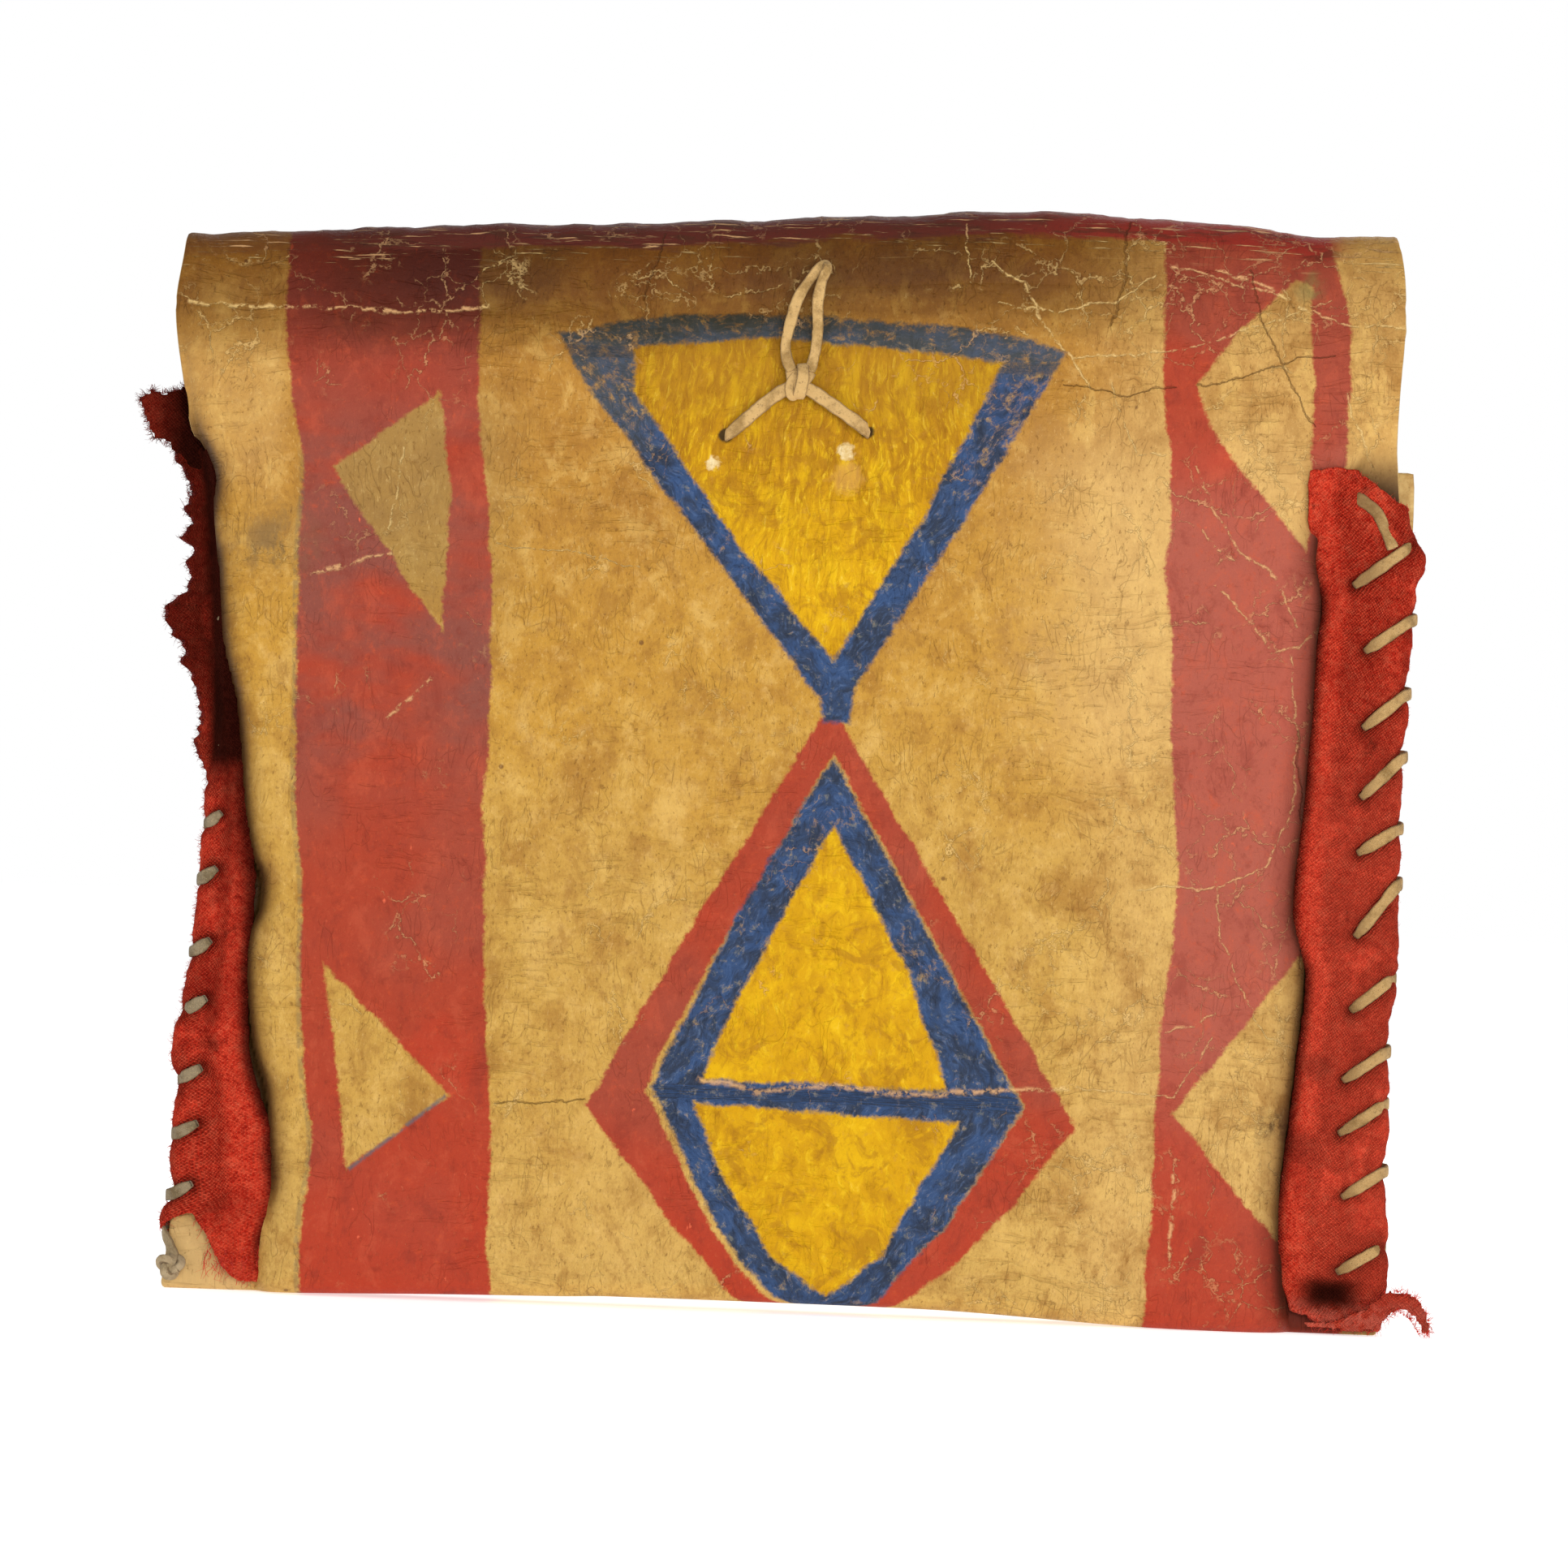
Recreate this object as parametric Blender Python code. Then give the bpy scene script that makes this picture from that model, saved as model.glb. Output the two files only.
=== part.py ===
"""A painted rawhide envelope case with laced wool bindings, in metres, +Z up.

One sheet of rawhide makes the back wall, the bottom fold, the front wall, the top fold and the
flap that hangs behind the mouth. Both side seams are bound with folded red wool cloth and laced
with a buckskin thong. A second thong is tied in a loop on the front. The front faces -Y, the case
stands on its bottom fold at z = 0, and the origin is the middle of its foot.
"""

import math

import bmesh
import bpy
from mathutils import Matrix, Vector

# The rawhide sheet.
HIDE = 0.0020
SEAM_GAP = 0.0004
MARGIN_DEPTH = HIDE + SEAM_GAP / 2
FRONT_DEPTH = 0.0120
BACK_DEPTH = 0.0110
BOTTOM_RADIUS = 0.0040
MOUTH_HEIGHT = 0.2110
WALL_HEIGHTS = (0.045, 0.085, 0.126, 0.168, 0.190)
UPPER_HEIGHTS = (0.211, 0.221, 0.230, 0.239)

# The top fold, whose crest is a straight line that climbs towards +X.
CREST_HEIGHT = 0.2680
CREST_SLOPE = 0.0384
CREST_Y = 0.00175
CREST_GAP = 0.0003
FOLD_HEIGHT = 0.0190
FOLD_HALF_DEPTH = 0.01375
LOWER_LEAN = math.radians(25)
UPPER_LEAN = math.radians(65)
FLAP_LENGTH = 0.1500
FLAP_CORNER = 0.0080
FLAP_TAPER = ((0.0, 0.0), (0.040, 0.0010), (0.062, 0.0065), (0.080, 0.0095), (0.150, 0.0140))
RIGHT_TAPER = 0.3

# The side lines of the sheet, as (height, x): the cut edge, and the foot where the pressed margin
# meets the swell of the front wall.
LEFT_EDGE = ((0.0, -0.1490), (0.044, -0.1468), (0.098, -0.1430), (0.126, -0.1410),
             (0.150, -0.1412), (0.174, -0.1436), (0.205, -0.1470), (0.241, -0.1540),
             (0.275, -0.1530))
LEFT_FOOT = ((0.0, -0.1260), (0.025, -0.1230), (0.080, -0.1310), (0.100, -0.1285),
             (0.126, -0.1310), (0.160, -0.1330), (0.202, -0.1370), (0.228, -0.1480),
             (0.275, -0.1500))
RIGHT_EDGE = ((0.0, 0.1500), (0.070, 0.1490), (0.130, 0.1498), (0.170, 0.1508),
              (0.205, 0.1500), (0.228, 0.1468), (0.275, 0.1440))
RIGHT_FOOT = ((0.0, 0.1270), (0.029, 0.1245), (0.080, 0.1285), (0.104, 0.1262),
              (0.180, 0.1292), (0.208, 0.1260), (0.234, 0.1390), (0.275, 0.1400))
LEFT_RAMP = 0.0050
RIGHT_RAMP = 0.0070
INNER_SHIFT = 0.0012
INSIDE_STATIONS = (0.25, 0.50, 0.75)

# The wool bindings.
GAP = 0.0003
CLOTH = 0.0016
CLOTH_FACE = MARGIN_DEPTH + GAP
CLOTH_CORNER = 0.0008
FOOT_CLEARANCE = 0.0006
LEFT_CLOTH_SPAN = (0.0150, 0.2080)
RIGHT_CLOTH_SPAN = (0.0040, 0.2105)
HALF_WIDTH = 0.16475

# The lacing, in heights of the hand-cut holes.
THONG_WIDTH = 0.0032
THONG = 0.0013
HOLE_SLACK = 0.0004
LEFT_HOLES = (0.0190, 0.0300, 0.0415, 0.0535, 0.0700, 0.0850, 0.1015, 0.1165,
              0.1310, 0.1470, 0.1640, 0.1830, 0.2010)
RIGHT_HOLES = (0.0165, 0.0345, 0.0495, 0.0630, 0.0800, 0.0985, 0.1180, 0.1335,
               0.1505, 0.1690, 0.1860)
LEFT_INSET = 0.0040
RIGHT_INSET = 0.0085
LEFT_RISE = -0.0040
RIGHT_RISE = 0.0085
RIGHT_END_HOLE = (0.1375, 0.2065)
RIGHT_END = (0.1455, 0.2010)
KNOT_RADIUS = 0.0038

# The tie on the front.
TIE_WIDTH = 0.0034
TIE_THONG = 0.0011
TIE_HOLES = ((-0.0184, 0.2154), (0.0165, 0.2178))
TIE_KNOT = (-0.0010, 0.2290)
TIE_KNOT_HALF = (0.0034, 0.0016, 0.0036)
TIE_FACE = -(FRONT_DEPTH + GAP + TIE_THONG / 2)
LOOP_WIDTH = 0.0028
LOOP_LEFT = ((-0.0028, 0.2334), (-0.0042, 0.2390), (-0.0034, 0.2460), (-0.0008, 0.2530))
LOOP_TIP = (0.0040, 0.2590)
LOOP_RIGHT = ((0.0052, 0.2520), (0.0044, 0.2450), (0.0032, 0.2390), (0.0014, 0.2334))


def clear_scene():
    for thing in list(bpy.data.objects):
        bpy.data.objects.remove(thing)


def material(name, colour, roughness):
    """A Principled material of one colour."""
    made = bpy.data.materials.new(name)
    made.use_nodes = True
    shader = made.node_tree.nodes["Principled BSDF"]
    shader.inputs["Base Color"].default_value = (*colour, 1.0)
    shader.inputs["Roughness"].default_value = roughness
    shader.inputs["Metallic"].default_value = 0.0
    return made


def through(points, at):
    """The value at `at` of the smooth curve through (position, value) points."""
    last = len(points) - 1
    if at <= points[0][0]:
        return points[0][1]
    if at >= points[last][0]:
        return points[last][1]
    k = max(i for i in range(last) if points[i][0] <= at)

    def slope(i):
        low, high = max(i - 1, 0), min(i + 1, last)
        return (points[high][1] - points[low][1]) / (points[high][0] - points[low][0])

    span = points[k + 1][0] - points[k][0]
    t = (at - points[k][0]) / span
    value = (2 * t**3 - 3 * t**2 + 1) * points[k][1] + (3 * t**2 - 2 * t**3) * points[k + 1][1]
    return value + span * ((t**3 - 2 * t**2 + t) * slope(k) + (t**3 - t**2) * slope(k + 1))


def side_line(points, height):
    """The x of a side line at a height, straight between the levels where the sheet has rows."""
    levels = (0.0, *WALL_HEIGHTS, *UPPER_HEIGHTS)
    k = max(i for i in range(len(levels) - 1) if i == 0 or levels[i] <= height)
    low, high = levels[k], levels[k + 1]
    share = (height - low) / (high - low)
    return through(points, low) * (1 - share) + through(points, high) * share


def smooth_step(t):
    t = min(1.0, max(0.0, t))
    return t * t * (3 - 2 * t)


def crest_height(x):
    return CREST_HEIGHT + CREST_SLOPE * x


def solid_object(name, bm, finish):
    """The bmesh as a named object with its faces pointing out."""
    bmesh.ops.recalc_face_normals(bm, faces=bm.faces[:])
    mesh = bpy.data.meshes.new(name)
    bm.to_mesh(mesh)
    bm.free()
    mesh.materials.append(finish)
    made = bpy.data.objects.new(name, mesh)
    bpy.context.scene.collection.objects.link(made)
    return made


def sheet_solid(name, outer, inner, finish):
    """The closed solid between two grids of points with the same rows and columns."""
    bm = bmesh.new()
    rows, columns = len(outer), len(outer[0])
    grids = [[[bm.verts.new(point) for point in row] for row in grid] for grid in (outer, inner)]
    for grid in grids:
        for i in range(rows - 1):
            for j in range(columns - 1):
                bm.faces.new((grid[i][j], grid[i][j + 1], grid[i + 1][j + 1], grid[i + 1][j]))
    rim = [(0, j) for j in range(columns - 1)]
    rim += [(i, columns - 1) for i in range(rows - 1)]
    rim += [(rows - 1, j) for j in range(columns - 1, 0, -1)]
    rim += [(i, 0) for i in range(rows - 1, 0, -1)]
    for a, b in zip(rim, rim[1:] + rim[:1]):
        bm.faces.new((grids[0][a[0]][a[1]], grids[0][b[0]][b[1]],
                      grids[1][b[0]][b[1]], grids[1][a[0]][a[1]]))
    return solid_object(name, bm, finish)


def strap(name, path, width, thickness, finish):
    """A flat thong along a path, folded along upright lines wherever the path turns."""
    points = [Vector(point) for point in path]
    up = Vector((0.0, 0.0, 1.0))
    bm = bmesh.new()
    rings = []
    for i, point in enumerate(points):
        before = (point - points[max(i - 1, 0)]) * Vector((1, 1, 0))
        after = (points[min(i + 1, len(points) - 1)] - point) * Vector((1, 1, 0))
        along = (before.normalized() + after.normalized()).normalized()
        mitre = 1 / max(0.5, along.dot((after if after.length else before).normalized()))
        across = up * width / 2
        through_it = along.cross(up) * thickness / 2 * mitre
        corners = (across + through_it, across - through_it, -across - through_it,
                   -across + through_it)
        rings.append([bm.verts.new(point + corner) for corner in corners])
    for a, b in zip(rings, rings[1:]):
        for k in range(4):
            bm.faces.new((a[k], a[(k + 1) % 4], b[(k + 1) % 4], b[k]))
    bm.faces.new(rings[0])
    bm.faces.new(rings[-1])
    return solid_object(name, bm, finish)


def cut_boxes(target, boxes):
    """Cuts boxes, each (centre, full sizes), out of the target."""
    bm = bmesh.new()
    for centre, sizes in boxes:
        place = Matrix.Translation(centre) @ Matrix.Diagonal((*sizes, 1.0))
        bmesh.ops.create_cube(bm, size=1.0, matrix=place)
    cutter = solid_object(target.name + "_holes", bm, target.data.materials[0])
    cutter.hide_render = True
    cutter.display_type = "WIRE"
    cut = target.modifiers.new("lacing holes", "BOOLEAN")
    cut.operation = "DIFFERENCE"
    cut.object = cutter


# The rawhide sheet ------------------------------------------------------------------------------


def stations(height, inner):
    """The x of each line across the sheet at a height, and which of them lie on the margins."""
    shift = INNER_SHIFT if inner else 0.0
    left_foot = through(LEFT_FOOT, height) + shift
    right_foot = through(RIGHT_FOOT, height) - shift
    left_ridge, right_ridge = left_foot + LEFT_RAMP, right_foot - RIGHT_RAMP
    middle = [left_ridge + (right_ridge - left_ridge) * share for share in INSIDE_STATIONS]
    xs = [through(LEFT_EDGE, height), left_foot, left_ridge, *middle,
          right_ridge, right_foot, through(RIGHT_EDGE, height)]
    on_margin = [True, True, False, *[False] * len(middle), False, True, True]
    return list(zip(xs, on_margin))


def wall_depth(full_depth, on_margin, height, inner):
    """How far a wall's face stands from the seam plane."""
    depth = full_depth
    if on_margin:
        rise = smooth_step((height - UPPER_HEIGHTS[0]) / (CREST_HEIGHT - FOLD_HEIGHT - UPPER_HEIGHTS[0]))
        depth = MARGIN_DEPTH + (full_depth - MARGIN_DEPTH) * rise
    return depth - HIDE if inner else depth


def wall_row(side, full_depth, height, inner):
    return [(x, side * wall_depth(full_depth, margin, height, inner), height)
            for x, margin in stations(height, inner)]


def bottom_rows(inner):
    """The bottom fold: a flat foot with a rounded turn up into each wall."""
    floor = HIDE if inner else 0.0
    rows = []
    for side, full_depth, turns in ((1, BACK_DEPTH, (0, 30, 60, 90)), (-1, FRONT_DEPTH, (90, 60, 30, 0))):
        for turn in turns:
            angle = math.radians(turn)
            row = []
            for x, margin in stations(0.0, inner):
                depth = wall_depth(full_depth, margin, 0.0, inner)
                radius = min(BOTTOM_RADIUS, 0.85 * depth) if not inner else min(BOTTOM_RADIUS - HIDE, 0.5 * depth)
                row.append((x, side * (depth - radius * (1 - math.cos(angle))),
                            floor + radius * (1 - math.sin(angle))))
            rows.append(row)
    return rows


def fold_profile(inner):
    """(y, height below the crest) of the front half of the top fold, from its crease to the crest."""
    lower = ((FOLD_HEIGHT * math.cos(LOWER_LEAN) - FOLD_HALF_DEPTH * math.sin(LOWER_LEAN))
             / math.cos(2 * LOWER_LEAN))
    knee = (-FOLD_HALF_DEPTH + lower * math.sin(LOWER_LEAN), -FOLD_HEIGHT + lower * math.cos(LOWER_LEAN))
    points = [(-FOLD_HALF_DEPTH, -FOLD_HEIGHT), knee, (0.0, 0.0)]
    if inner:
        half_knee = (UPPER_LEAN - LOWER_LEAN) / 2
        lean = LOWER_LEAN + half_knee
        offset = HIDE / math.cos(half_knee)
        crease = (points[0][0] + HIDE, points[0][1] - HIDE * math.tan(LOWER_LEAN / 2))
        inner_knee = (knee[0] + offset * math.cos(lean), knee[1] - offset * math.sin(lean))
        points = [crease, inner_knee, (0.0, -HIDE / math.sin(UPPER_LEAN))]
    points[-1] = (-CREST_GAP / 2, points[-1][1] - CREST_GAP / 2 / math.tan(UPPER_LEAN))
    return points


def fold_rows(side, inner):
    """The rows of half the top fold, from crease to crest on the front, mirrored behind it."""
    rows = []
    for y, below in fold_profile(inner):
        row = []
        for x, _ in stations(CREST_HEIGHT + below, inner):
            row.append((x, CREST_Y + (y if side < 0 else -y), crest_height(x) + below))
        rows.append(row)
    return rows if side < 0 else rows[::-1]


def pocket_grid(inner):
    """The sheet's rows from the mouth down the back, under the bottom and up the front to the crest."""
    rows = [wall_row(1, BACK_DEPTH, height, inner) for height in (MOUTH_HEIGHT, *reversed(WALL_HEIGHTS))]
    rows += bottom_rows(inner)
    rows += [wall_row(-1, FRONT_DEPTH, height, inner) for height in (*WALL_HEIGHTS, *UPPER_HEIGHTS)]
    return rows + fold_rows(-1, inner)


def make_pocket(finish):
    pocket = sheet_solid("pocket_hide", pocket_grid(False), pocket_grid(True), finish)
    holes = lacing_holes(LEFT_EDGE, LEFT_HOLES, LEFT_INSET) + right_lacing_holes()
    for x, height in TIE_HOLES:
        centre = (x, -FRONT_DEPTH + HIDE / 2, height)
        holes.append((centre, (TIE_THONG + 2 * HOLE_SLACK, 2 * HIDE, TIE_WIDTH + 2 * HOLE_SLACK)))
    cut_boxes(pocket, holes)
    return pocket


def flap_grid(inner):
    """The flap's rows, from the crest down behind the mouth to its free edge."""
    rows = fold_rows(1, inner)
    y = CREST_Y + FOLD_HALF_DEPTH - (HIDE if inner else 0.0)
    for below in (0.040, 0.062, 0.080, 0.115, FLAP_LENGTH - FLAP_CORNER, FLAP_LENGTH - FLAP_CORNER / 4, FLAP_LENGTH):
        reach = max(0.0, below - FLAP_LENGTH + FLAP_CORNER) / FLAP_CORNER
        cut = FLAP_CORNER * (1 - math.sqrt(max(0.0, 1 - reach * reach)))
        base = stations(CREST_HEIGHT, inner)
        taper = through(FLAP_TAPER, below)
        left, right = base[0][0] + taper + cut, base[-1][0] - RIGHT_TAPER * taper - cut
        row = []
        for x, _ in base:
            share = (x - base[0][0]) / (base[-1][0] - base[0][0])
            at = left + (right - left) * share
            row.append((at, y, crest_height(at) - below))
        rows.append(row)
    return rows


def make_flap(finish):
    """The flap, hinged on the crest, with its origin there."""
    flap = sheet_solid("flap_hide", flap_grid(False), flap_grid(True), finish)
    hinge = Vector((0.0, CREST_Y, CREST_HEIGHT))
    flap.data.transform(Matrix.Translation(-hinge))
    flap.location = hinge
    return flap


# The wool bindings ------------------------------------------------------------------------------


def binding_section(edge, foot, side, inner):
    """(x, y) of the cloth folded over a seam, from the front free edge round to the back one."""
    y = CLOTH_FACE + (0.0 if inner else CLOTH)
    x = edge + side * (GAP + (0.0 if inner else CLOTH))
    corner = CLOTH_CORNER * (0.25 if inner else 1.0)
    free = foot + side * FOOT_CLEARANCE
    return [(free, -y), (x - side * corner, -y), (x, -y + corner),
            (x, y - corner), (x - side * corner, y), (free, y)]


def binding_grid(edge_line, foot_line, side, span, inner):
    low, high = span
    grid = []
    for height in (low, *(level for level in WALL_HEIGHTS if low < level < high), high):
        section = binding_section(side_line(edge_line, height), side_line(foot_line, height), side, inner)
        grid.append([(x, y, height) for x, y in section])
    return grid


def lacing_holes(edge_line, heights, inset):
    """The boxes that the lacing's holes are cut with, inset from the cut edge."""
    side = 1 if edge_line[0][1] > 0 else -1
    sizes = (THONG + 2 * HOLE_SLACK, 4 * CLOTH_FACE + 4 * CLOTH, THONG_WIDTH + 2 * HOLE_SLACK)
    return [((side_line(edge_line, height) - side * inset, 0.0, height), sizes) for height in heights]


def right_lacing_holes():
    boxes = lacing_holes(RIGHT_EDGE, RIGHT_HOLES, RIGHT_INSET)
    x, height = RIGHT_END_HOLE
    return [*boxes, ((x, 0.0, height), boxes[0][1])]


def make_bindings(finish):
    for name, edge, foot, side, span, holes in (
        ("left_cloth", LEFT_EDGE, LEFT_FOOT, -1, LEFT_CLOTH_SPAN,
         lacing_holes(LEFT_EDGE, LEFT_HOLES, LEFT_INSET)),
        ("right_cloth", RIGHT_EDGE, RIGHT_FOOT, 1, RIGHT_CLOTH_SPAN, right_lacing_holes()),
    ):
        grids = [binding_grid(edge, foot, side, span, inner) for inner in (False, True)]
        cut_boxes(sheet_solid(name, *grids, finish), holes)


def cloth_plate(name, outline, low_y, finish):
    """A loose end of cloth: an outline in x and z, given the cloth's thickness."""
    bm = bmesh.new()
    face = bm.faces.new([bm.verts.new((x, low_y, z)) for x, z in outline])
    raised = bmesh.ops.extrude_face_region(bm, geom=[face])
    lifted = [item for item in raised["geom"] if isinstance(item, bmesh.types.BMVert)]
    bmesh.ops.translate(bm, verts=lifted, vec=(0.0, CLOTH, 0.0))
    bmesh.ops.triangulate(bm, faces=bm.faces[:])
    return solid_object(name, bm, finish)


def make_loose_ends(finish):
    """The ragged top of the left binding, behind the front wall, and the tail under the right one."""
    top = LEFT_CLOTH_SPAN[1] + GAP
    cloth_plate("left_cloth_scrap", (
        (-0.1465, top), (-0.1490, top + 0.0180), (-0.1535, top + 0.0190), (-0.1590, top + 0.0160),
        (-HALF_WIDTH, top + 0.0155), (-0.1635, top + 0.0070), (-0.1580, top + 0.0020),
        (-0.1530, top)), CLOTH_FACE, finish)
    outer = side_line(RIGHT_EDGE, 0.0) + GAP + CLOTH + GAP
    cloth_plate("right_cloth_tail", (
        (outer, 0.0035), (outer, 0.0135), (outer + 0.0050, 0.0155), (outer + 0.0100, 0.0125),
        (HALF_WIDTH, 0.0060), (HALF_WIDTH - 0.0020, 0.0012), (outer + 0.0085, 0.0020),
        (outer + 0.0060, 0.0075)), -CLOTH / 2, finish)


# The thongs -------------------------------------------------------------------------------------


def lacing_path(edge_line, heights, inset, rise, side):
    """The whipstitch from bottom to top: through a hole, slanting to the edge and over it."""
    face = CLOTH_FACE + CLOTH + GAP + THONG / 2
    out = side * (GAP + CLOTH + GAP + THONG / 2)
    path = []
    for height in heights:
        hole = side_line(edge_line, height) - side * inset
        wrap = height + rise
        edge = side_line(edge_line, wrap) + out
        over_edge = [(edge, -face, wrap), (edge, face, wrap)]
        if side > 0:
            path += [(hole, face, height), (hole, -face, height), *over_edge]
        else:
            path += [*over_edge[::-1], (hole, -face, height), (hole, face, height)]
    return path


def knot(name, centre, half_sizes, finish):
    """A pulled-tight knot: a rounded lump with flattened faces."""
    bm = bmesh.new()
    place = Matrix.Translation(centre) @ Matrix.Diagonal((*half_sizes, 1.0))
    bmesh.ops.create_icosphere(bm, subdivisions=2, radius=1.0, matrix=place)
    made = solid_object(name, bm, finish)
    made.data.shade_smooth()
    return made


def make_lacing(finish):
    face = CLOTH_FACE + CLOTH + GAP + THONG / 2
    left = lacing_path(LEFT_EDGE, LEFT_HOLES, LEFT_INSET, LEFT_RISE, -1)[2:]
    start = Vector((side_line(LEFT_EDGE, 0.007) + 0.0015, -face, 0.0115))
    strap("left_lacing", [start, *left], THONG_WIDTH, THONG, finish)
    right = lacing_path(RIGHT_EDGE, RIGHT_HOLES, RIGHT_INSET, RIGHT_RISE, 1)
    x, height = RIGHT_END_HOLE
    right += [(x, face, height), (x, -face, height), (RIGHT_END[0], -face, RIGHT_END[1])]
    strap("right_lacing", right, THONG_WIDTH, THONG, finish)

    depth = 0.0026
    knot("left_lower_knot", (start.x, -MARGIN_DEPTH - GAP - depth, start.z - 0.0016 - GAP - KNOT_RADIUS),
         (KNOT_RADIUS, depth, KNOT_RADIUS), finish)
    hole = side_line(LEFT_EDGE, LEFT_HOLES[-1]) + LEFT_INSET
    knot("left_upper_knot", (hole, face + THONG / 2 + GAP + 0.0017, LEFT_HOLES[-1]),
         (0.0030, 0.0017, 0.0026), finish)
    hole = side_line(RIGHT_EDGE, RIGHT_HOLES[0]) - RIGHT_INSET
    knot("right_lower_knot", (hole, face + THONG / 2 + GAP + 0.0019, RIGHT_HOLES[0]),
         (0.0034, 0.0019, 0.0034), finish)


def make_tie(finish):
    """The tied thong: two legs from its holes to the knot, a bridge inside, and the loop."""
    inside = -FRONT_DEPTH + HIDE + GAP + TIE_THONG / 2
    (left_x, left_z), (right_x, right_z) = TIE_HOLES
    half_knot = TIE_KNOT_HALF[0] + GAP + TIE_WIDTH / 4
    strap("tie_thong", [
        (TIE_KNOT[0] - half_knot, TIE_FACE, TIE_KNOT[1] - 0.0022), (left_x, TIE_FACE, left_z),
        (left_x, inside, left_z), (right_x, inside, right_z), (right_x, TIE_FACE, right_z),
        (TIE_KNOT[0] + half_knot, TIE_FACE, TIE_KNOT[1] - 0.0022)], TIE_WIDTH, TIE_THONG, finish)
    knot_y = -FRONT_DEPTH - GAP - TIE_KNOT_HALF[1]
    knot("tie_knot", (TIE_KNOT[0], knot_y, TIE_KNOT[1]), TIE_KNOT_HALF, finish)

    bm = bmesh.new()
    loop_y = TIE_FACE - TIE_THONG / 2
    line = [*LOOP_LEFT, LOOP_TIP, *LOOP_RIGHT]
    outward = LOOP_WIDTH / 2
    sides = []
    for i, (x, z) in enumerate(line):
        ahead, behind = line[min(i + 1, len(line) - 1)], line[max(i - 1, 0)]
        run = Vector((ahead[0] - behind[0], ahead[1] - behind[1])).normalized()
        sides.append(((x - run.y * outward, z + run.x * outward), (x + run.y * outward, z - run.x * outward)))
    tip = len(LOOP_LEFT)
    sides[tip] = ((LOOP_TIP[0], LOOP_TIP[1] + outward), (LOOP_TIP[0] - 0.0004, LOOP_TIP[1] - 0.0026))
    layers = [[[bm.verts.new((x, y, z)) for x, z in pair] for pair in sides]
              for y in (loop_y - TIE_THONG / 2, loop_y + TIE_THONG / 2)]
    front, back = layers
    for i in range(len(line) - 1):
        for layer in layers:
            bm.faces.new((layer[i][0], layer[i + 1][0], layer[i + 1][1], layer[i][1]))
        for k in range(2):
            bm.faces.new((front[i][k], front[i + 1][k], back[i + 1][k], back[i][k]))
    for end in (0, len(line) - 1):
        bm.faces.new((front[end][0], front[end][1], back[end][1], back[end][0]))
    loop = solid_object("tie_loop", bm, finish)
    hinge = Vector((0.0, loop_y, LOOP_LEFT[0][1]))
    loop.data.transform(Matrix.Translation(-hinge))
    loop.location = hinge


def main():
    clear_scene()
    rawhide = material("rawhide", (0.56, 0.36, 0.13), 0.45)
    wool = material("red_wool", (0.48, 0.035, 0.025), 0.90)
    buckskin = material("buckskin", (0.48, 0.36, 0.20), 0.80)
    make_pocket(rawhide)
    make_flap(rawhide)
    make_bindings(wool)
    make_loose_ends(wool)
    make_lacing(buckskin)
    make_tie(buckskin)


main()
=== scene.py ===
"""The painted rawhide envelope case: materials, fine geometry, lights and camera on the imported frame."""
import math
import random

import bpy
import numpy as np
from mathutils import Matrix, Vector, noise


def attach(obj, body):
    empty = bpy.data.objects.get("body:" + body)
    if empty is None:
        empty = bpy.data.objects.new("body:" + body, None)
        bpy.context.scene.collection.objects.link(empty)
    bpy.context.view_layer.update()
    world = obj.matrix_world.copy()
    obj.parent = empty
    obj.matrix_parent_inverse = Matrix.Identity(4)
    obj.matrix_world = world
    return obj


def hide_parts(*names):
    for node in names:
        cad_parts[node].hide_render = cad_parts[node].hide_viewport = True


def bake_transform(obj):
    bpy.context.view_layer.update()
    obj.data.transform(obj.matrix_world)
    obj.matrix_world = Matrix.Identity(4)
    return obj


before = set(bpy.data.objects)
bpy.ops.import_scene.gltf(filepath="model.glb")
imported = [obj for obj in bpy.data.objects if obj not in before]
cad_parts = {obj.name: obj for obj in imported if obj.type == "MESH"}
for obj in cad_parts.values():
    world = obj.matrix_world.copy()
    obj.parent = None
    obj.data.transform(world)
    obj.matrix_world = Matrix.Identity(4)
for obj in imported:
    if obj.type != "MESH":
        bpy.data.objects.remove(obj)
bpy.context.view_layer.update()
MM = 0.001

# Shared sizes, in millimetres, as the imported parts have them. Depths are from the seam plane, y = 0.
HIDE = 2.0  # the rawhide's thickness
CLOTH = 1.35  # the wool's thickness
MARGIN = 2.2  # the outer face of each wall at its seam
FRONT, BACK = 12.0, 11.0  # the outer faces of the two walls where they swell out
UPPER = 205.0  # the height from which the front's side edges open
CREST, CREST_Y = 268.0, 1.75  # the middle of the top fold
FOLD_UP, FOLD_HALF, FOLD_POWER = 19.0, 13.75, 0.92  # the fold's rise, half its depth, and its squareness
FLAP = 150.0  # how far the flap hangs down
FLAP_TAPER = ((0, 0.4), (40, 1.4), (62, 7.0), (80, 10.4), (150, 15.0))  # its narrowing, by distance down
FACE = 4.1  # the outer face of the cloth
LEAST_FACE = MARGIN + 1.7  # and how near it comes to the seam plane in a pucker
TURN_FROM, TURN_TO = 0.44, 0.56  # where the cloth turns round the edge, as shares of its width


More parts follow.
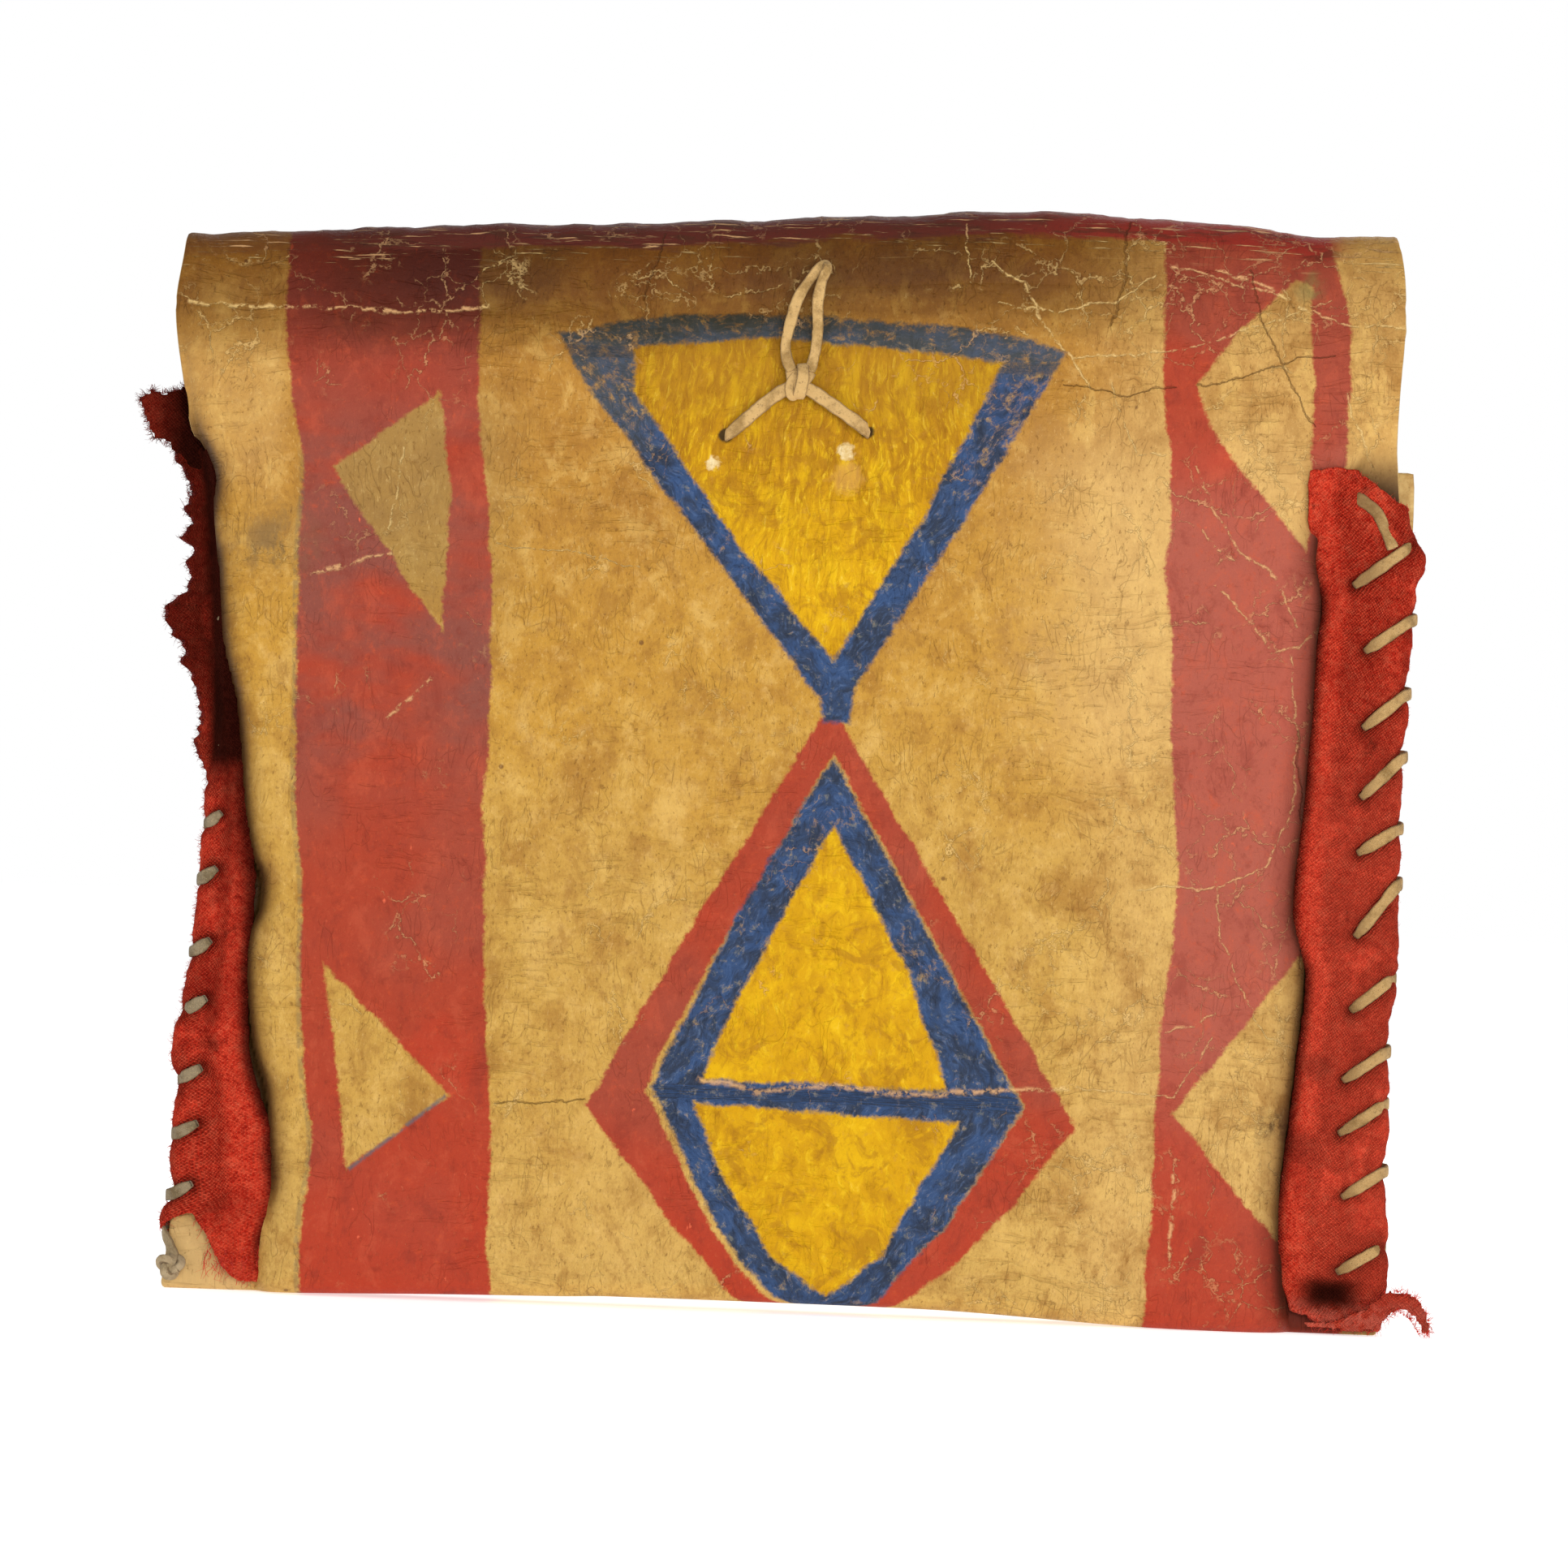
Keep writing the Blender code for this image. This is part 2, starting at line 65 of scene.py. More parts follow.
def lerp_line(points, at):
    """Smooth value through (position, value) points, for arrays."""
    points = np.array(points, float)
    at = np.asarray(at, float)
    p, v = points[:, 0], points[:, 1]
    m = np.empty(len(p))
    m[1:-1] = (v[2:] - v[:-2]) / (p[2:] - p[:-2])
    m[0] = (v[1] - v[0]) / (p[1] - p[0])
    m[-1] = (v[-1] - v[-2]) / (p[-1] - p[-2])
    k = np.clip(np.searchsorted(p, at, side="right") - 1, 0, len(p) - 2)
    h = p[k + 1] - p[k]
    t = np.clip((at - p[k]) / h, 0, 1)
    return ((2 * t**3 - 3 * t**2 + 1) * v[k] + (3 * t**2 - 2 * t**3) * v[k + 1]
            + h * ((t**3 - 2 * t**2 + t) * m[k] + (t**3 - t**2) * m[k + 1]))


def step(t):
    t = np.clip(t, 0, 1)
    return t * t * (3 - 2 * t)


def bump_field(points, scale, seed=0.0, octaves=3):
    """Smooth noise, about -1 to 1, at points in mm, with features `scale` mm wide."""
    points = np.asarray(points, float)
    flat = points.reshape(-1, 3)
    out = np.empty(len(flat))
    for i, (x, y, z) in enumerate(flat):
        at = Vector((x / scale + seed, y / scale - seed, z / scale + 2 * seed))
        out[i] = noise.fractal(at, 1.0, 2.1, octaves, noise_basis="PERLIN_ORIGINAL")
    return out.reshape(points.shape[:-1])


# Lines of the hide, as (height, x) in mm: its side edges, and where its walls start to swell beside them.
EDGE_L = ((0, -149.4), (20, -147.6), (44, -146.2), (70, -144.6), (98, -143.0), (126, -141.0), (150, -141.0),
          (174, -142.6), (195, -144.6), (207, -146.9), (214, -150.3), (228, -152.5), (241, -154.2),
          (250, -154.6), (262, -153.4), (275, -153.0))
FOOT_L = ((0, -126.5), (14, -126.0), (26, -124.0), (40, -125.0), (50, -126.2), (62, -129.9), (78, -131.9),
          (88, -131.7), (96, -129.3), (102, -129.2), (108, -131.6), (120, -134.2), (130, -135.2),
          (146, -137.3), (151, -138.6), (160, -141.0), (171, -142.3), (181, -143.3), (190, -145.3),
          (200, -144.6), (207, -146.6), (214, -149.9), (228, -152.1), (241, -153.8), (275, -152.8))
EDGE_R = ((0, 150.4), (40, 149.6), (70, 149.0), (100, 149.8), (130, 149.8), (170, 150.4), (200, 148.6),
          (212, 147.3), (218, 146.6), (230, 146.5), (242, 147.0), (250, 146.9), (260, 146.1), (266, 145.0),
          (275, 143.4))
FOOT_R = ((0, 129.0), (30, 126.0), (60, 128.0), (80, 129.4), (92, 129.6), (104, 126.8), (130, 128.4),
          (150, 129.4), (170, 130.0), (182, 130.6), (192, 129.0), (204, 131.0), (214, 138.0), (226, 143.5),
          (240, 146.0), (275, 143.2))
EDGE_R_BACK = ((0, 150.4), (40, 149.6), (100, 149.8), (130, 149.8), (170, 150.4), (188, 150.2), (197, 151.6),
               (220, 151.4))
BACK_TOP = 213.2
# The heights of the top fold and of the arched bottom edge, as (x, height).
CREST_LINE = ((-158, 262.0), (-150, 262.2), (-135, 263.5), (-112, 264.8), (-80, 266.8), (-45, 268.1),
              (-22, 270.0), (0, 272.0), (23, 273.6), (36, 274.9), (68, 275.5), (91, 274.9), (114, 273.8),
              (126, 272.7), (158, 273.4))
ARCH = ((-158, 0.0), (-125, 0.2), (-80, 1.5), (-50, 2.2), (-40, 2.6), (30, 2.6), (50, 2.2), (90, 0.3),
        (110, 0.0), (158, 0.0))


def crest(x):
    """The height of the top fold, which climbs unevenly to the right."""
    return lerp_line(CREST_LINE, x)


def raised(x, z):
    """Heights of the sheet with the slight arch of its bottom edge added."""
    return z + lerp_line(ARCH, x) * (1 - step(z / 30.0))


def shoulder(t):
    """A rise from 0 to 1, steep at first and flat at its end."""
    return (1 - (1 - np.clip(t, 0, 1)) ** 2.3) ** (1 / 2.3)


def wall_depth(x, z, full, back=False):
    """How far the outer face of a wall stands from the seam plane."""
    left, right = lerp_line(FOOT_L, z), lerp_line(FOOT_R, z)
    if back:
        left, right = left - 1.0, right + 1.0
    widths = (11.0, 17.0) if not back else (14.0, 14.0)
    rise = shoulder((x - left) / widths[0]) * shoulder((right - x) / widths[1])
    margin = MARGIN + (full - MARGIN) * rise
    if back:
        return margin
    up = step((z - UPPER) / 40.0)
    return margin * (1 - up) + full * up


def curve_fold(angle, x):
    """(y, z) of the top fold at an angle from its front crease, 0 to 180 degrees."""
    c, s = np.cos(angle), np.sin(angle)
    return (CREST_Y - FOLD_HALF * np.sign(c) * np.abs(c) ** FOLD_POWER,
            crest(x) - FOLD_UP + FOLD_UP * s ** FOLD_POWER)


def fold_arc():
    a = np.linspace(0, math.pi, 181)
    y, z = curve_fold(a, 0.0)
    return a, np.concatenate([[0], np.cumsum(np.hypot(np.diff(y), np.diff(z)))])


ARC_ANGLE, ARC_LENGTH = fold_arc()
ARC_TOTAL = ARC_LENGTH[-1]
BOTTOM_R = 4.6


def across(z, count, right_line=EDGE_R):
    """The x of `count` lines across the sheet at heights z, closer together near both sides."""
    left, right = lerp_line(EDGE_L, z), lerp_line(right_line, z)
    t = np.linspace(0, 1, count)
    t = t - 0.075 * np.sin(2 * math.pi * t)
    return left[:, None] + (right - left)[:, None] * t[None, :]


def crease(u, v, points, width, depth):
    """A soft furrow along a line of (u, v) points."""
    best = np.full(u.shape, 1e9)
    for (ax, ay), (bx, by) in zip(points, points[1:]):
        dx, dy = bx - ax, by - ay
        t = np.clip(((u - ax) * dx + (v - ay) * dy) / (dx * dx + dy * dy), 0, 1)
        best = np.minimum(best, np.hypot(u - ax - t * dx, v - ay - t * dy))
    return -depth * np.exp(-(best / width) ** 2)


CREASES = (
    (((-122, 44.8), (-95, 49), (-47, 51), (-19, 57), (15, 57), (45, 56.8), (89, 57.2)), 1.2, 0.40),
    (((-152, 243.7), (-128, 243.1), (-79, 245.4), (-40, 247), (27, 249)), 1.3, 0.40),
    (((88.7, 262.7), (103, 259.3), (117, 255.8), (131, 249.4), (146, 249)), 1.2, 0.50),
    (((65.6, 238.8), (78.6, 239.3), (97.5, 243), (113, 248.7), (129, 255.3)), 1.1, 0.35),
    (((45, 262), (53, 256), (59, 246.5), (65.6, 238.8), (71, 231)), 1.1, 0.35),
    (((87, 108.5), (107, 109.3), (118.6, 115.2), (124.9, 129), (125.1, 149)), 1.3, 0.45),
    (((97.7, 213), (103, 201), (109.5, 192.5), (118.8, 186), (123.8, 175)), 1.1, 0.45),
    (((103.4, 184), (113, 174.6), (118, 167.8), (124.5, 169), (132, 177)), 1.1, 0.40),
    (((106, 112), (108, 98), (111.7, 88.5), (120, 73), (129, 69)), 1.1, 0.40),
    (((96, 57.5), (104.7, 63), (108, 74)), 1.0, 0.35),
    (((79, 274), (77.7, 267), (78.4, 260), (75, 247)), 0.9, 0.55),
    (((38.7, 273), (39, 265.7), (40, 257)), 0.8, 0.35),
    (((-30, 120), (10, 126), (52, 122), (90, 116)), 1.8, 0.20),
    (((-66, 178.5), (-48, 181), (-28, 171)), 1.6, 0.20),
    (((-6, 40), (-2, 30), (-7, 20)), 1.2, 0.25),
)
TIE_HOLES = ((-18.5, 216.0), (16.0, 218.4))


def wrinkle(u, v):
    """The height of the sheet's own waves and creases, in mm, over flat arrays."""
    flat = np.stack([u, v, 0 * u], -1)
    out = 0.75 * bump_field(flat, 70.0, 3.1, 2) + 0.26 * bump_field(flat, 22.0, 7.7, 2)
    out += 0.07 * bump_field(flat * (1.0, 2.0, 1.0), 8.0, 1.3, 3)
    wobble = 1.2 * bump_field(flat, 9.0, 5.0, 2)
    for points, width, depth in CREASES:
        out += crease(u + wobble, v + wobble, points, width, depth)
    for hole_u, hole_v in TIE_HOLES:
        out -= 0.9 * np.exp(-((u - hole_u) ** 2 + (v - hole_v) ** 2) / 5.0)
    return out


def units(vectors):
    """Vectors along the last axis, made one unit long."""
    return vectors / np.linalg.norm(vectors, axis=-1, keepdims=True)


def grid_normals(grid):
    return units(np.cross(np.gradient(grid, axis=1), np.gradient(grid, axis=0)))


def link(name, verts, faces):
    """A mesh object from vertices in mm."""
    mesh = bpy.data.meshes.new(name)
    mesh.from_pydata((np.asarray(verts) * MM).tolist(), [], [tuple(int(i) for i in f) for f in faces])
    mesh.update()
    mesh.polygons.foreach_set("use_smooth", np.full(len(mesh.polygons), True))
    made = bpy.data.objects.new(name, mesh)
    bpy.context.scene.collection.objects.link(made)
    return made


def store(obj, name, values, kind="FLOAT_VECTOR"):
    layer = obj.data.attributes.new(name, kind, "POINT")
    slot = "vector" if kind == "FLOAT_VECTOR" else "value"
    layer.data.foreach_set(slot, np.asarray(values, np.float32).ravel())


def around(grid):
    """The border values of a grid, once round it."""
    return np.concatenate([grid[0, :], grid[1:, -1], grid[-1, -2::-1], grid[-2:0:-1, 0]])


def slab(name, outer, thickness, coords, rounding=0.42):
    """A closed sheet of a thickness under an outer grid, with rounded cut edges.
    coords is the (rows, columns, 2) flat position; the stored third value is the depth, 0 to 1."""
    rows, cols = outer.shape[:2]
    normal = grid_normals(outer)
    inner = outer - normal * thickness
    count = rows * cols
    coords = coords.reshape(-1, 2)
    verts = [outer.reshape(-1, 3), inner.reshape(-1, 3)]
    flat = [np.insert(coords, 2, share, 1) for share in (0.0, 1.0)]
    index = np.arange(count).reshape(rows, cols)
    a, b, c, d = index[:-1, :-1], index[:-1, 1:], index[1:, 1:], index[1:, :-1]
    faces = np.stack([a, b, c, d], 2).reshape(-1, 4).tolist()
    faces += (np.stack([a, d, c, b], 2).reshape(-1, 4) + count).tolist()
    rim = around(index)
    ahead = np.zeros((rows, cols, 3))
    run, climb = units(np.gradient(outer, axis=1)), units(np.gradient(outer, axis=0))
    ahead[:, 0] -= run[:, 0]
    ahead[:, -1] += run[:, -1]
    ahead[0] -= climb[0]
    ahead[-1] += climb[-1]
    ahead /= np.maximum(np.linalg.norm(ahead, axis=2, keepdims=True), 1e-9)
    rings = [rim]
    for angle in (45, 0, -45):
        depth = thickness / 2 * (1 - math.sin(math.radians(angle)))
        push = thickness * rounding * math.cos(math.radians(angle))
        verts.append((outer - normal * depth + ahead * push).reshape(-1, 3)[rim])
        flat.append(np.insert(coords[rim], 2, depth / thickness, 1))
        rings.append(2 * count + len(rim) * (len(rings) - 1) + np.arange(len(rim)))
    rings.append(rim + count)
    for before, ring in zip(rings, rings[1:]):
        faces += np.stack([before, ring, np.roll(ring, -1), np.roll(before, -1)], 1).tolist()
    obj = link(name, np.concatenate(verts), faces)
    store(obj, "sheet", np.concatenate(flat))
    return obj


# The hide ---------------------------------------------------------------------------------------

COLUMNS = 216


def waves(depth, full):
    """How strongly the sheet's waves show: a quarter at its margins, in full where a wall swells out."""
    return 0.25 + 0.75 * np.clip((depth - MARGIN) / (full - MARGIN), 0, 1)


def front_rows(heights):
    x = across(heights, COLUMNS)
    z = np.repeat(heights[:, None], COLUMNS, 1)
    depth = wall_depth(x, z, FRONT)
    fade = step((z - 2) / 12)
    z = raised(x, z)
    y = -(depth + (wrinkle(x, z) - 0.45) * fade * waves(depth, FRONT))
    return np.stack([x, y, z], 2), np.stack([x, z], 2)


def back_rows(heights):
    x = across(heights, COLUMNS, EDGE_R_BACK)
    z = np.repeat(heights[:, None], COLUMNS, 1)
    depth = wall_depth(x, z, BACK - 0.6, True)
    fade = step((z - 2) / 12)
    y = depth + (0.7 * wrinkle(x + 300, z) - 0.5) * fade * waves(depth, BACK)
    return np.stack([x, y, raised(x, z)], 2), np.stack([x, -z - 20.0], 2)


def bottom_rows():
    """The bottom fold from the back wall round to the front wall."""
    x = across(np.zeros(1), COLUMNS)[0]
    front = wall_depth(x, np.zeros_like(x), FRONT)
    back = wall_depth(x, np.zeros_like(x), BACK - 0.6, True)
    lift = lerp_line(ARCH, x)
    radius_b = np.minimum(BOTTOM_R, back * 0.9)
    radius_f = np.minimum(BOTTOM_R, front * 0.9)
    turn = BOTTOM_R * math.pi / 2
    rows, flat = [], []
    for a in np.radians(np.arange(80, -1, -10)):
        rows.append(np.stack([x, back - radius_b * (1 - np.sin(a)), lift + radius_b * (1 - np.cos(a))], 1))
        flat.append(np.stack([x, np.full_like(x, -17.4 - BOTTOM_R * a)], 1))
    for t in np.linspace(0, 1, 8)[1:-1]:
        y = (back - radius_b) * (1 - t) - (front - radius_f) * t
        rows.append(np.stack([x, y, lift], 1))
        flat.append(np.stack([x, -17.4 * (1 - t) + (BOTTOM_R - turn + lift) * t], 1))
    for a in np.radians(np.arange(0, 81, 10)):
        y = -(front - radius_f * (1 - np.sin(a)))
        rows.append(np.stack([x, y, lift + radius_f * (1 - np.cos(a))], 1))
        flat.append(np.stack([x, lift + BOTTOM_R - BOTTOM_R * (math.pi / 2 - a)], 1))
    return np.array(rows), np.array(flat)


def fold_rows(angles):
    """Rows over the top fold at angles from the front crease."""
    grid, flat = [], []
    base_z = CREST - FOLD_UP
    for a in angles:
        x = across(np.full(1, base_z + FOLD_UP * math.sin(min(a, math.pi / 2))), COLUMNS)[0]
        y, z = curve_fold(np.full_like(x, a), x)
        v = crest(x) - FOLD_UP + np.interp(a, ARC_ANGLE, ARC_LENGTH)
        grid.append(np.stack([x, y, z], 1))
        flat.append(np.stack([x, v], 1))
    grid, flat = np.array(grid), np.array(flat)
    u, v = flat[..., 0], flat[..., 1]
    knocks = bump_field(np.stack([u, v * 0.5, 0 * u], -1), 8.0, 2.2, 3) * np.sin(angles)[:, None] ** 2
    grid = grid + grid_normals(grid) * (wrinkle(u, v) - 0.45 + 0.55 * knocks)[..., None]
    return grid, flat


def joined(*parts):
    return np.concatenate([p[0] for p in parts]), np.concatenate([p[1] for p in parts])


def upper_front_rows():
    """From the mouth's height up to the fold's crease, whose height follows the crest."""
    rows, flat = [], []
    for t in np.linspace(0, 1, 27)[1:]:
        nominal = UPPER + (CREST - FOLD_UP - UPPER) * t
        x = across(np.full(1, nominal), COLUMNS)[0]
        z = UPPER + (crest(x) - FOLD_UP - UPPER) * t
        flush = step((t - 0.8) / 0.2)
        depth = wall_depth(x, z, FRONT) * (1 - flush) + FRONT * flush
        y = -(depth + (wrinkle(x, z) - 0.45) * waves(depth, FRONT))
        rows.append(np.stack([x, y, z], 1))
        flat.append(np.stack([x, z], 1))
    return np.array(rows), np.array(flat)


def flap_rows():
    rows, flat = [], []
    corner = 9.0
    last = FLAP - 12 + 12 * np.sin(np.linspace(0, math.pi / 2, 9)[1:])
    for down in np.concatenate([np.linspace(FOLD_UP + 2, FLAP - 12, 58), last]):
        x = across(np.full(1, CREST - FOLD_UP), COLUMNS)[0]
        over = max(0.0, down - FLAP + corner) / corner
        cut = corner * (1 - math.sqrt(max(0.0, 1 - over * over)))
        taper = float(lerp_line(FLAP_TAPER, down))
        left, right = x[0] + taper + cut, x[-1] - 0.3 * taper - cut
        x = left + (x - x[0]) * (right - left) / (x[-1] - x[0])
        sag = 1.6 * np.sin(x / 41.0) + 1.1 * np.sin(x / 17.0 + 1.0)
        z = crest(x) - down - sag * (down - FOLD_UP) / FLAP * 0.8
        v = crest(x) - FOLD_UP + ARC_TOTAL + down - FOLD_UP
        lift = wrinkle(x, v) - 0.45
        fade = 0.55 + 0.45 * step((60 - down) / 40)
        y = CREST_Y + FOLD_HALF + lift * fade - 0.2
        rows.append(np.stack([x, y, z], 1))
        flat.append(np.stack([x, v], 1))
    return np.array(rows), np.array(flat)


def make_hide():
    up = np.linspace(BOTTOM_R, UPPER, 126)
    down = np.linspace(BACK_TOP, BOTTOM_R, 76)
    pocket, flat = joined(back_rows(down), bottom_rows(), front_rows(up), upper_front_rows())
    hide = slab("hide_pocket", pocket, HIDE, flat)
    top, flat_top = fold_rows(np.radians(np.concatenate([np.arange(0, 180, 5), [176, 180]])))
    last = pocket[-1]
    ease = np.linspace(1, 0, 5)[:, None, None]
    top[:5] = top[:5] * (1 - ease) + (last[None] + (top[:5] - top[:1])) * ease
    flap, flat_flap = flap_rows()
    shift = top[-1] - (flap[0] + np.array([0, 0, 2.0]))
    fade = np.exp(-np.arange(len(flap)) / 5.0)[:, None, None]
    shift[:, 2] = 0
    flap = flap + shift[None] * fade
    return hide, slab("hide_flap", np.concatenate([top, flap]), HIDE, np.concatenate([flat_top, flat_flap]))


hide_pocket, hide_flap = make_hide()
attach(hide_pocket, "case")
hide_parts("pocket_hide")
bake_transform(hide_flap)
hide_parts("flap_hide")


# Fibres and thongs ------------------------------------------------------------------------------


def unit(v):
    v = np.asarray(v, float)
    return v / max(np.linalg.norm(v), 1e-9)


def fibres(name, seeds, radius):
    """Thin curved yarns: seeds are (base, direction, length) in mm."""
    sides, points, curl = 4, 6, 0.5
    verts, faces = [], []
    for base, direction, length in seeds:
        d = unit(direction)
        side_a = unit(np.cross(d, unit([rng.gauss(0, 1) for _ in range(3)])))
        side_b = np.cross(d, side_a)
        bend = [rng.gauss(0, curl) for _ in range(4)]
        thick = radius * rng.uniform(0.6, 1.35)
        start = len(verts)
        for k in range(points):
            t = k / (points - 1)
            off = side_a * (bend[0] * t * t + 0.35 * bend[1] * math.sin(5.0 * t + bend[2] * 4))
            off = off + side_b * (bend[2] * t * t + 0.35 * bend[3] * math.sin(6.0 * t))
            centre = np.asarray(base) + d * length * t + off * length
            r = thick * (1 - 0.55 * t)
            for s in range(sides):
                ang = 2 * math.pi * s / sides
                at_rim = centre + r * (math.cos(ang) * side_a + math.sin(ang) * side_b)
                verts.append(np.maximum(at_rim, (-999.0, -999.0, 0.1)))
            if k:
                for s in range(sides):
                    a, b = start + (k - 1) * sides + s, start + (k - 1) * sides + (s + 1) % sides
                    faces.append((a, b, b + sides, a + sides))
        faces.append(tuple(range(start + sides - 1, start - 1, -1)))
        faces.append(tuple(range(start + (points - 1) * sides, start + points * sides)))
    return link(name, verts, faces)


def spline(points, per):
    """A Catmull-Rom curve through points, `per` samples to a span."""
    p = np.asarray(points, float)
    p = np.concatenate([[2 * p[0] - p[1]], p, [2 * p[-1] - p[-2]]])
    out = []
    for i in range(1, len(p) - 2):
        a, b, c, d = p[i - 1], p[i], p[i + 1], p[i + 2]
        for k in range(per):
            t = k / per
            out.append(0.5 * (2 * b + (c - a) * t + (2 * a - 5 * b + 4 * c - d) * t * t
                              + (3 * b - a - 3 * c + d) * t**3))
    out.append(p[-2])
    return np.array(out)


def thong(name, knots, width, thick, per=7, seed=1, thinning=0.12, pinch=()):
    """A hand-cut strip of hide along knots of (point, normal). It is drawn in at the points of pinch."""
    sides = 14
    path = spline([k[0] for k in knots], per)
    normals = spline([k[1] for k in knots], per)
    tangent = units(np.gradient(path, axis=0))
    length = np.concatenate([[0], np.cumsum(np.linalg.norm(np.diff(path, axis=0), axis=1))])
    normals -= tangent * np.sum(normals * tangent, 1, keepdims=True)
    normals /= np.maximum(np.linalg.norm(normals, axis=1, keepdims=True), 1e-6)
    cross = np.cross(tangent, normals)
    wobble = bump_field(np.stack([length, length * 0, length * 0 + seed * 9.1], 1), 5.0, seed * 1.7, 2)
    angle = np.linspace(0, 2 * math.pi, sides, endpoint=False)
    ca = np.sign(np.cos(angle)) * np.abs(np.cos(angle)) ** 0.55
    sa = np.sign(np.sin(angle)) * np.abs(np.sin(angle)) ** 0.75
    w = width / 2 * (1 + 0.16 * wobble)
    h = thick / 2 * (1 - thinning * wobble)
    for hx, hz in pinch:
        w = w * (1 - 0.36 * np.exp(-((path[:, 0] - hx) ** 2 + (path[:, 2] - hz) ** 2) / 2.6))
    rings = (path[:, None] + cross[:, None] * (w[:, None] * ca[None])[..., None]
             + normals[:, None] * (h[:, None] * sa[None])[..., None])
    rough = 0.07 * bump_field(rings, 1.1, seed * 0.7, 2)
    rings = rings + (rings - path[:, None]) * rough[..., None]
    n = len(path)
    verts = rings.reshape(-1, 3).tolist()
    faces = []
    for i in range(n - 1):
        for s in range(sides):
            a, b = i * sides + s, i * sides + (s + 1) % sides
            faces.append((a, b, b + sides, a + sides))
    for i, inward in ((0, -1), (n - 1, 1)):
        centre = path[i] + tangent[i] * inward * 0.25
        verts.append(centre.tolist())
        tip = len(verts) - 1
        for s in range(sides):
            a, b = i * sides + s, i * sides + (s + 1) % sides
            faces.append((b, a, tip) if inward < 0 else (a, b, tip))
    made = link(name, verts, faces)
    flat = np.stack([np.repeat(length, sides), np.tile(angle, n), np.full(n * sides, float(seed))], 1)
    store(made, "strip", np.concatenate([flat, [[0, 0, seed], [length[-1], 0, seed]]]))
    return made


# The wool bindings ------------------------------------------------------------------------------

# Stitches: where the thong leaves the cloth and where it passes over the edge, as (x, z).
STITCH_R = (((140.9, 15.7), (151.6, 22.2)), ((141.4, 34.3), (151.5, 41.0)),
            ((140.0, 50.0), (151.0, 57.6)), ((140.5, 63.2), (151.0, 70.6)),
            ((141.6, 80.5), (151.6, 88.7)), ((142.1, 98.9), (152.2, 112.3)),
            ((141.9, 119.5), (151.9, 125.9)), ((142.1, 133.3), (152.2, 143.7)),
            ((142.0, 150.5), (152.5, 159.4)), ((141.7, 169.5), (153.2, 177.8)),
            ((138.4, 185.6), (152.4, 196.2)))
STITCH_L = (((-143.4, 13.6), (-150.0, 10.0)), ((-143.4, 26.2), (-149.0, 23.0)),
            ((-142.6, 41.2), (-148.2, 38.2)), ((-142.2, 55.0), (-147.2, 52.0)),
            ((-141.7, 72.2), (-146.6, 69.0)), ((-141.2, 86.6), (-145.6, 83.4)),
            ((-140.4, 104.4), (-144.4, 101.4)), ((-139.8, 118.2), (-143.2, 115.2)),
            ((-136.9, 138.5), (-140.7, 133.0)), ((-137.4, 154.5), (-140.8, 149.0)),
            ((-138.4, 171.5), (-142.0, 164.4)), ((-139.6, 188.5), (-143.0, 182.0)),
            ((-140.8, 206.0), (-144.4, 199.5)))
TUCKED = 8  # from this stitch up, the left thong lies low behind the hide's edge

# Outer edges and free edges of the bindings, as (height, x).
OUT_R = ((0, 152.0), (12, 153.2), (22, 153.6), (31, 152.5), (42, 151.6), (53, 152.5), (68, 151.6),
         (78, 151.4), (86, 153.0), (100, 152.7), (120, 152.5), (130, 152.2), (148, 152.3), (154, 153.2),
         (162, 152.4), (170, 153.2), (183, 153.8), (187, 154.2), (190, 155.8), (195, 155.6), (200, 152.2),
         (206, 150.8), (215, 150.6))
FREE_R = ((0, 134.0), (5, 130.6), (9, 128.4), (17, 125.9), (29, 125.3), (49, 127.2), (69, 129.0),
          (89, 130.1), (97, 126.9), (103, 126.3), (115, 126.6), (131, 128.0), (149, 128.9), (169, 129.5),
          (181, 130.4), (189, 127.7), (201, 126.6), (211, 125.8), (215, 125.8))
OUT_L = ((0, -148.4), (8, -151.6), (13, -150.4), (18, -151.3), (24, -148.4), (32, -149.4), (44, -149.0),
         (50, -148.2), (58, -150.0), (74, -147.6), (82, -146.3), (98, -145.3), (106, -144.8),
         (121, -144.4), (126, -144.2), (134, -146.8), (138, -146.8), (141, -146.2), (144, -147.4),
         (148, -147.0), (152, -149.0), (155, -152.4), (158, -151.0), (162, -154.0), (168, -155.6),
         (171, -154.2), (173, -150.8), (176, -149.8), (180, -151.4), (183, -149.6), (186, -152.6),
         (190, -150.8), (194, -152.0), (198, -150.6), (202, -153.2), (208, -156.4))
FREE_L = ((0, -126.0), (3, -126.1), (10, -125.2), (14, -125.6), (20, -122.8), (26, -122.6), (32, -123.9),
          (41, -124.4), (48, -127.4), (58, -130.6), (78, -131.6), (100, -131.0), (126, -133.6),
          (150, -137.0), (170, -140.6), (208, -143.0))


def line(points):
    """A smooth function through (position, value) points."""
    return lambda at: lerp_line(points, at)


def from_span(x, z, span):
    """Distances from a straight span between two (x, z) places, and squared from its first end."""
    (hx, hz), (ex, ez) = span
    dx, dz = ex - hx, ez - hz
    s = np.clip(((x - hx) * dx + (z - hz) * dz) / (dx * dx + dz * dz), 0, 1)
    return np.hypot(x - hx - s * dx, z - hz - s * dz), (x - hx) ** 2 + (z - hz) ** 2


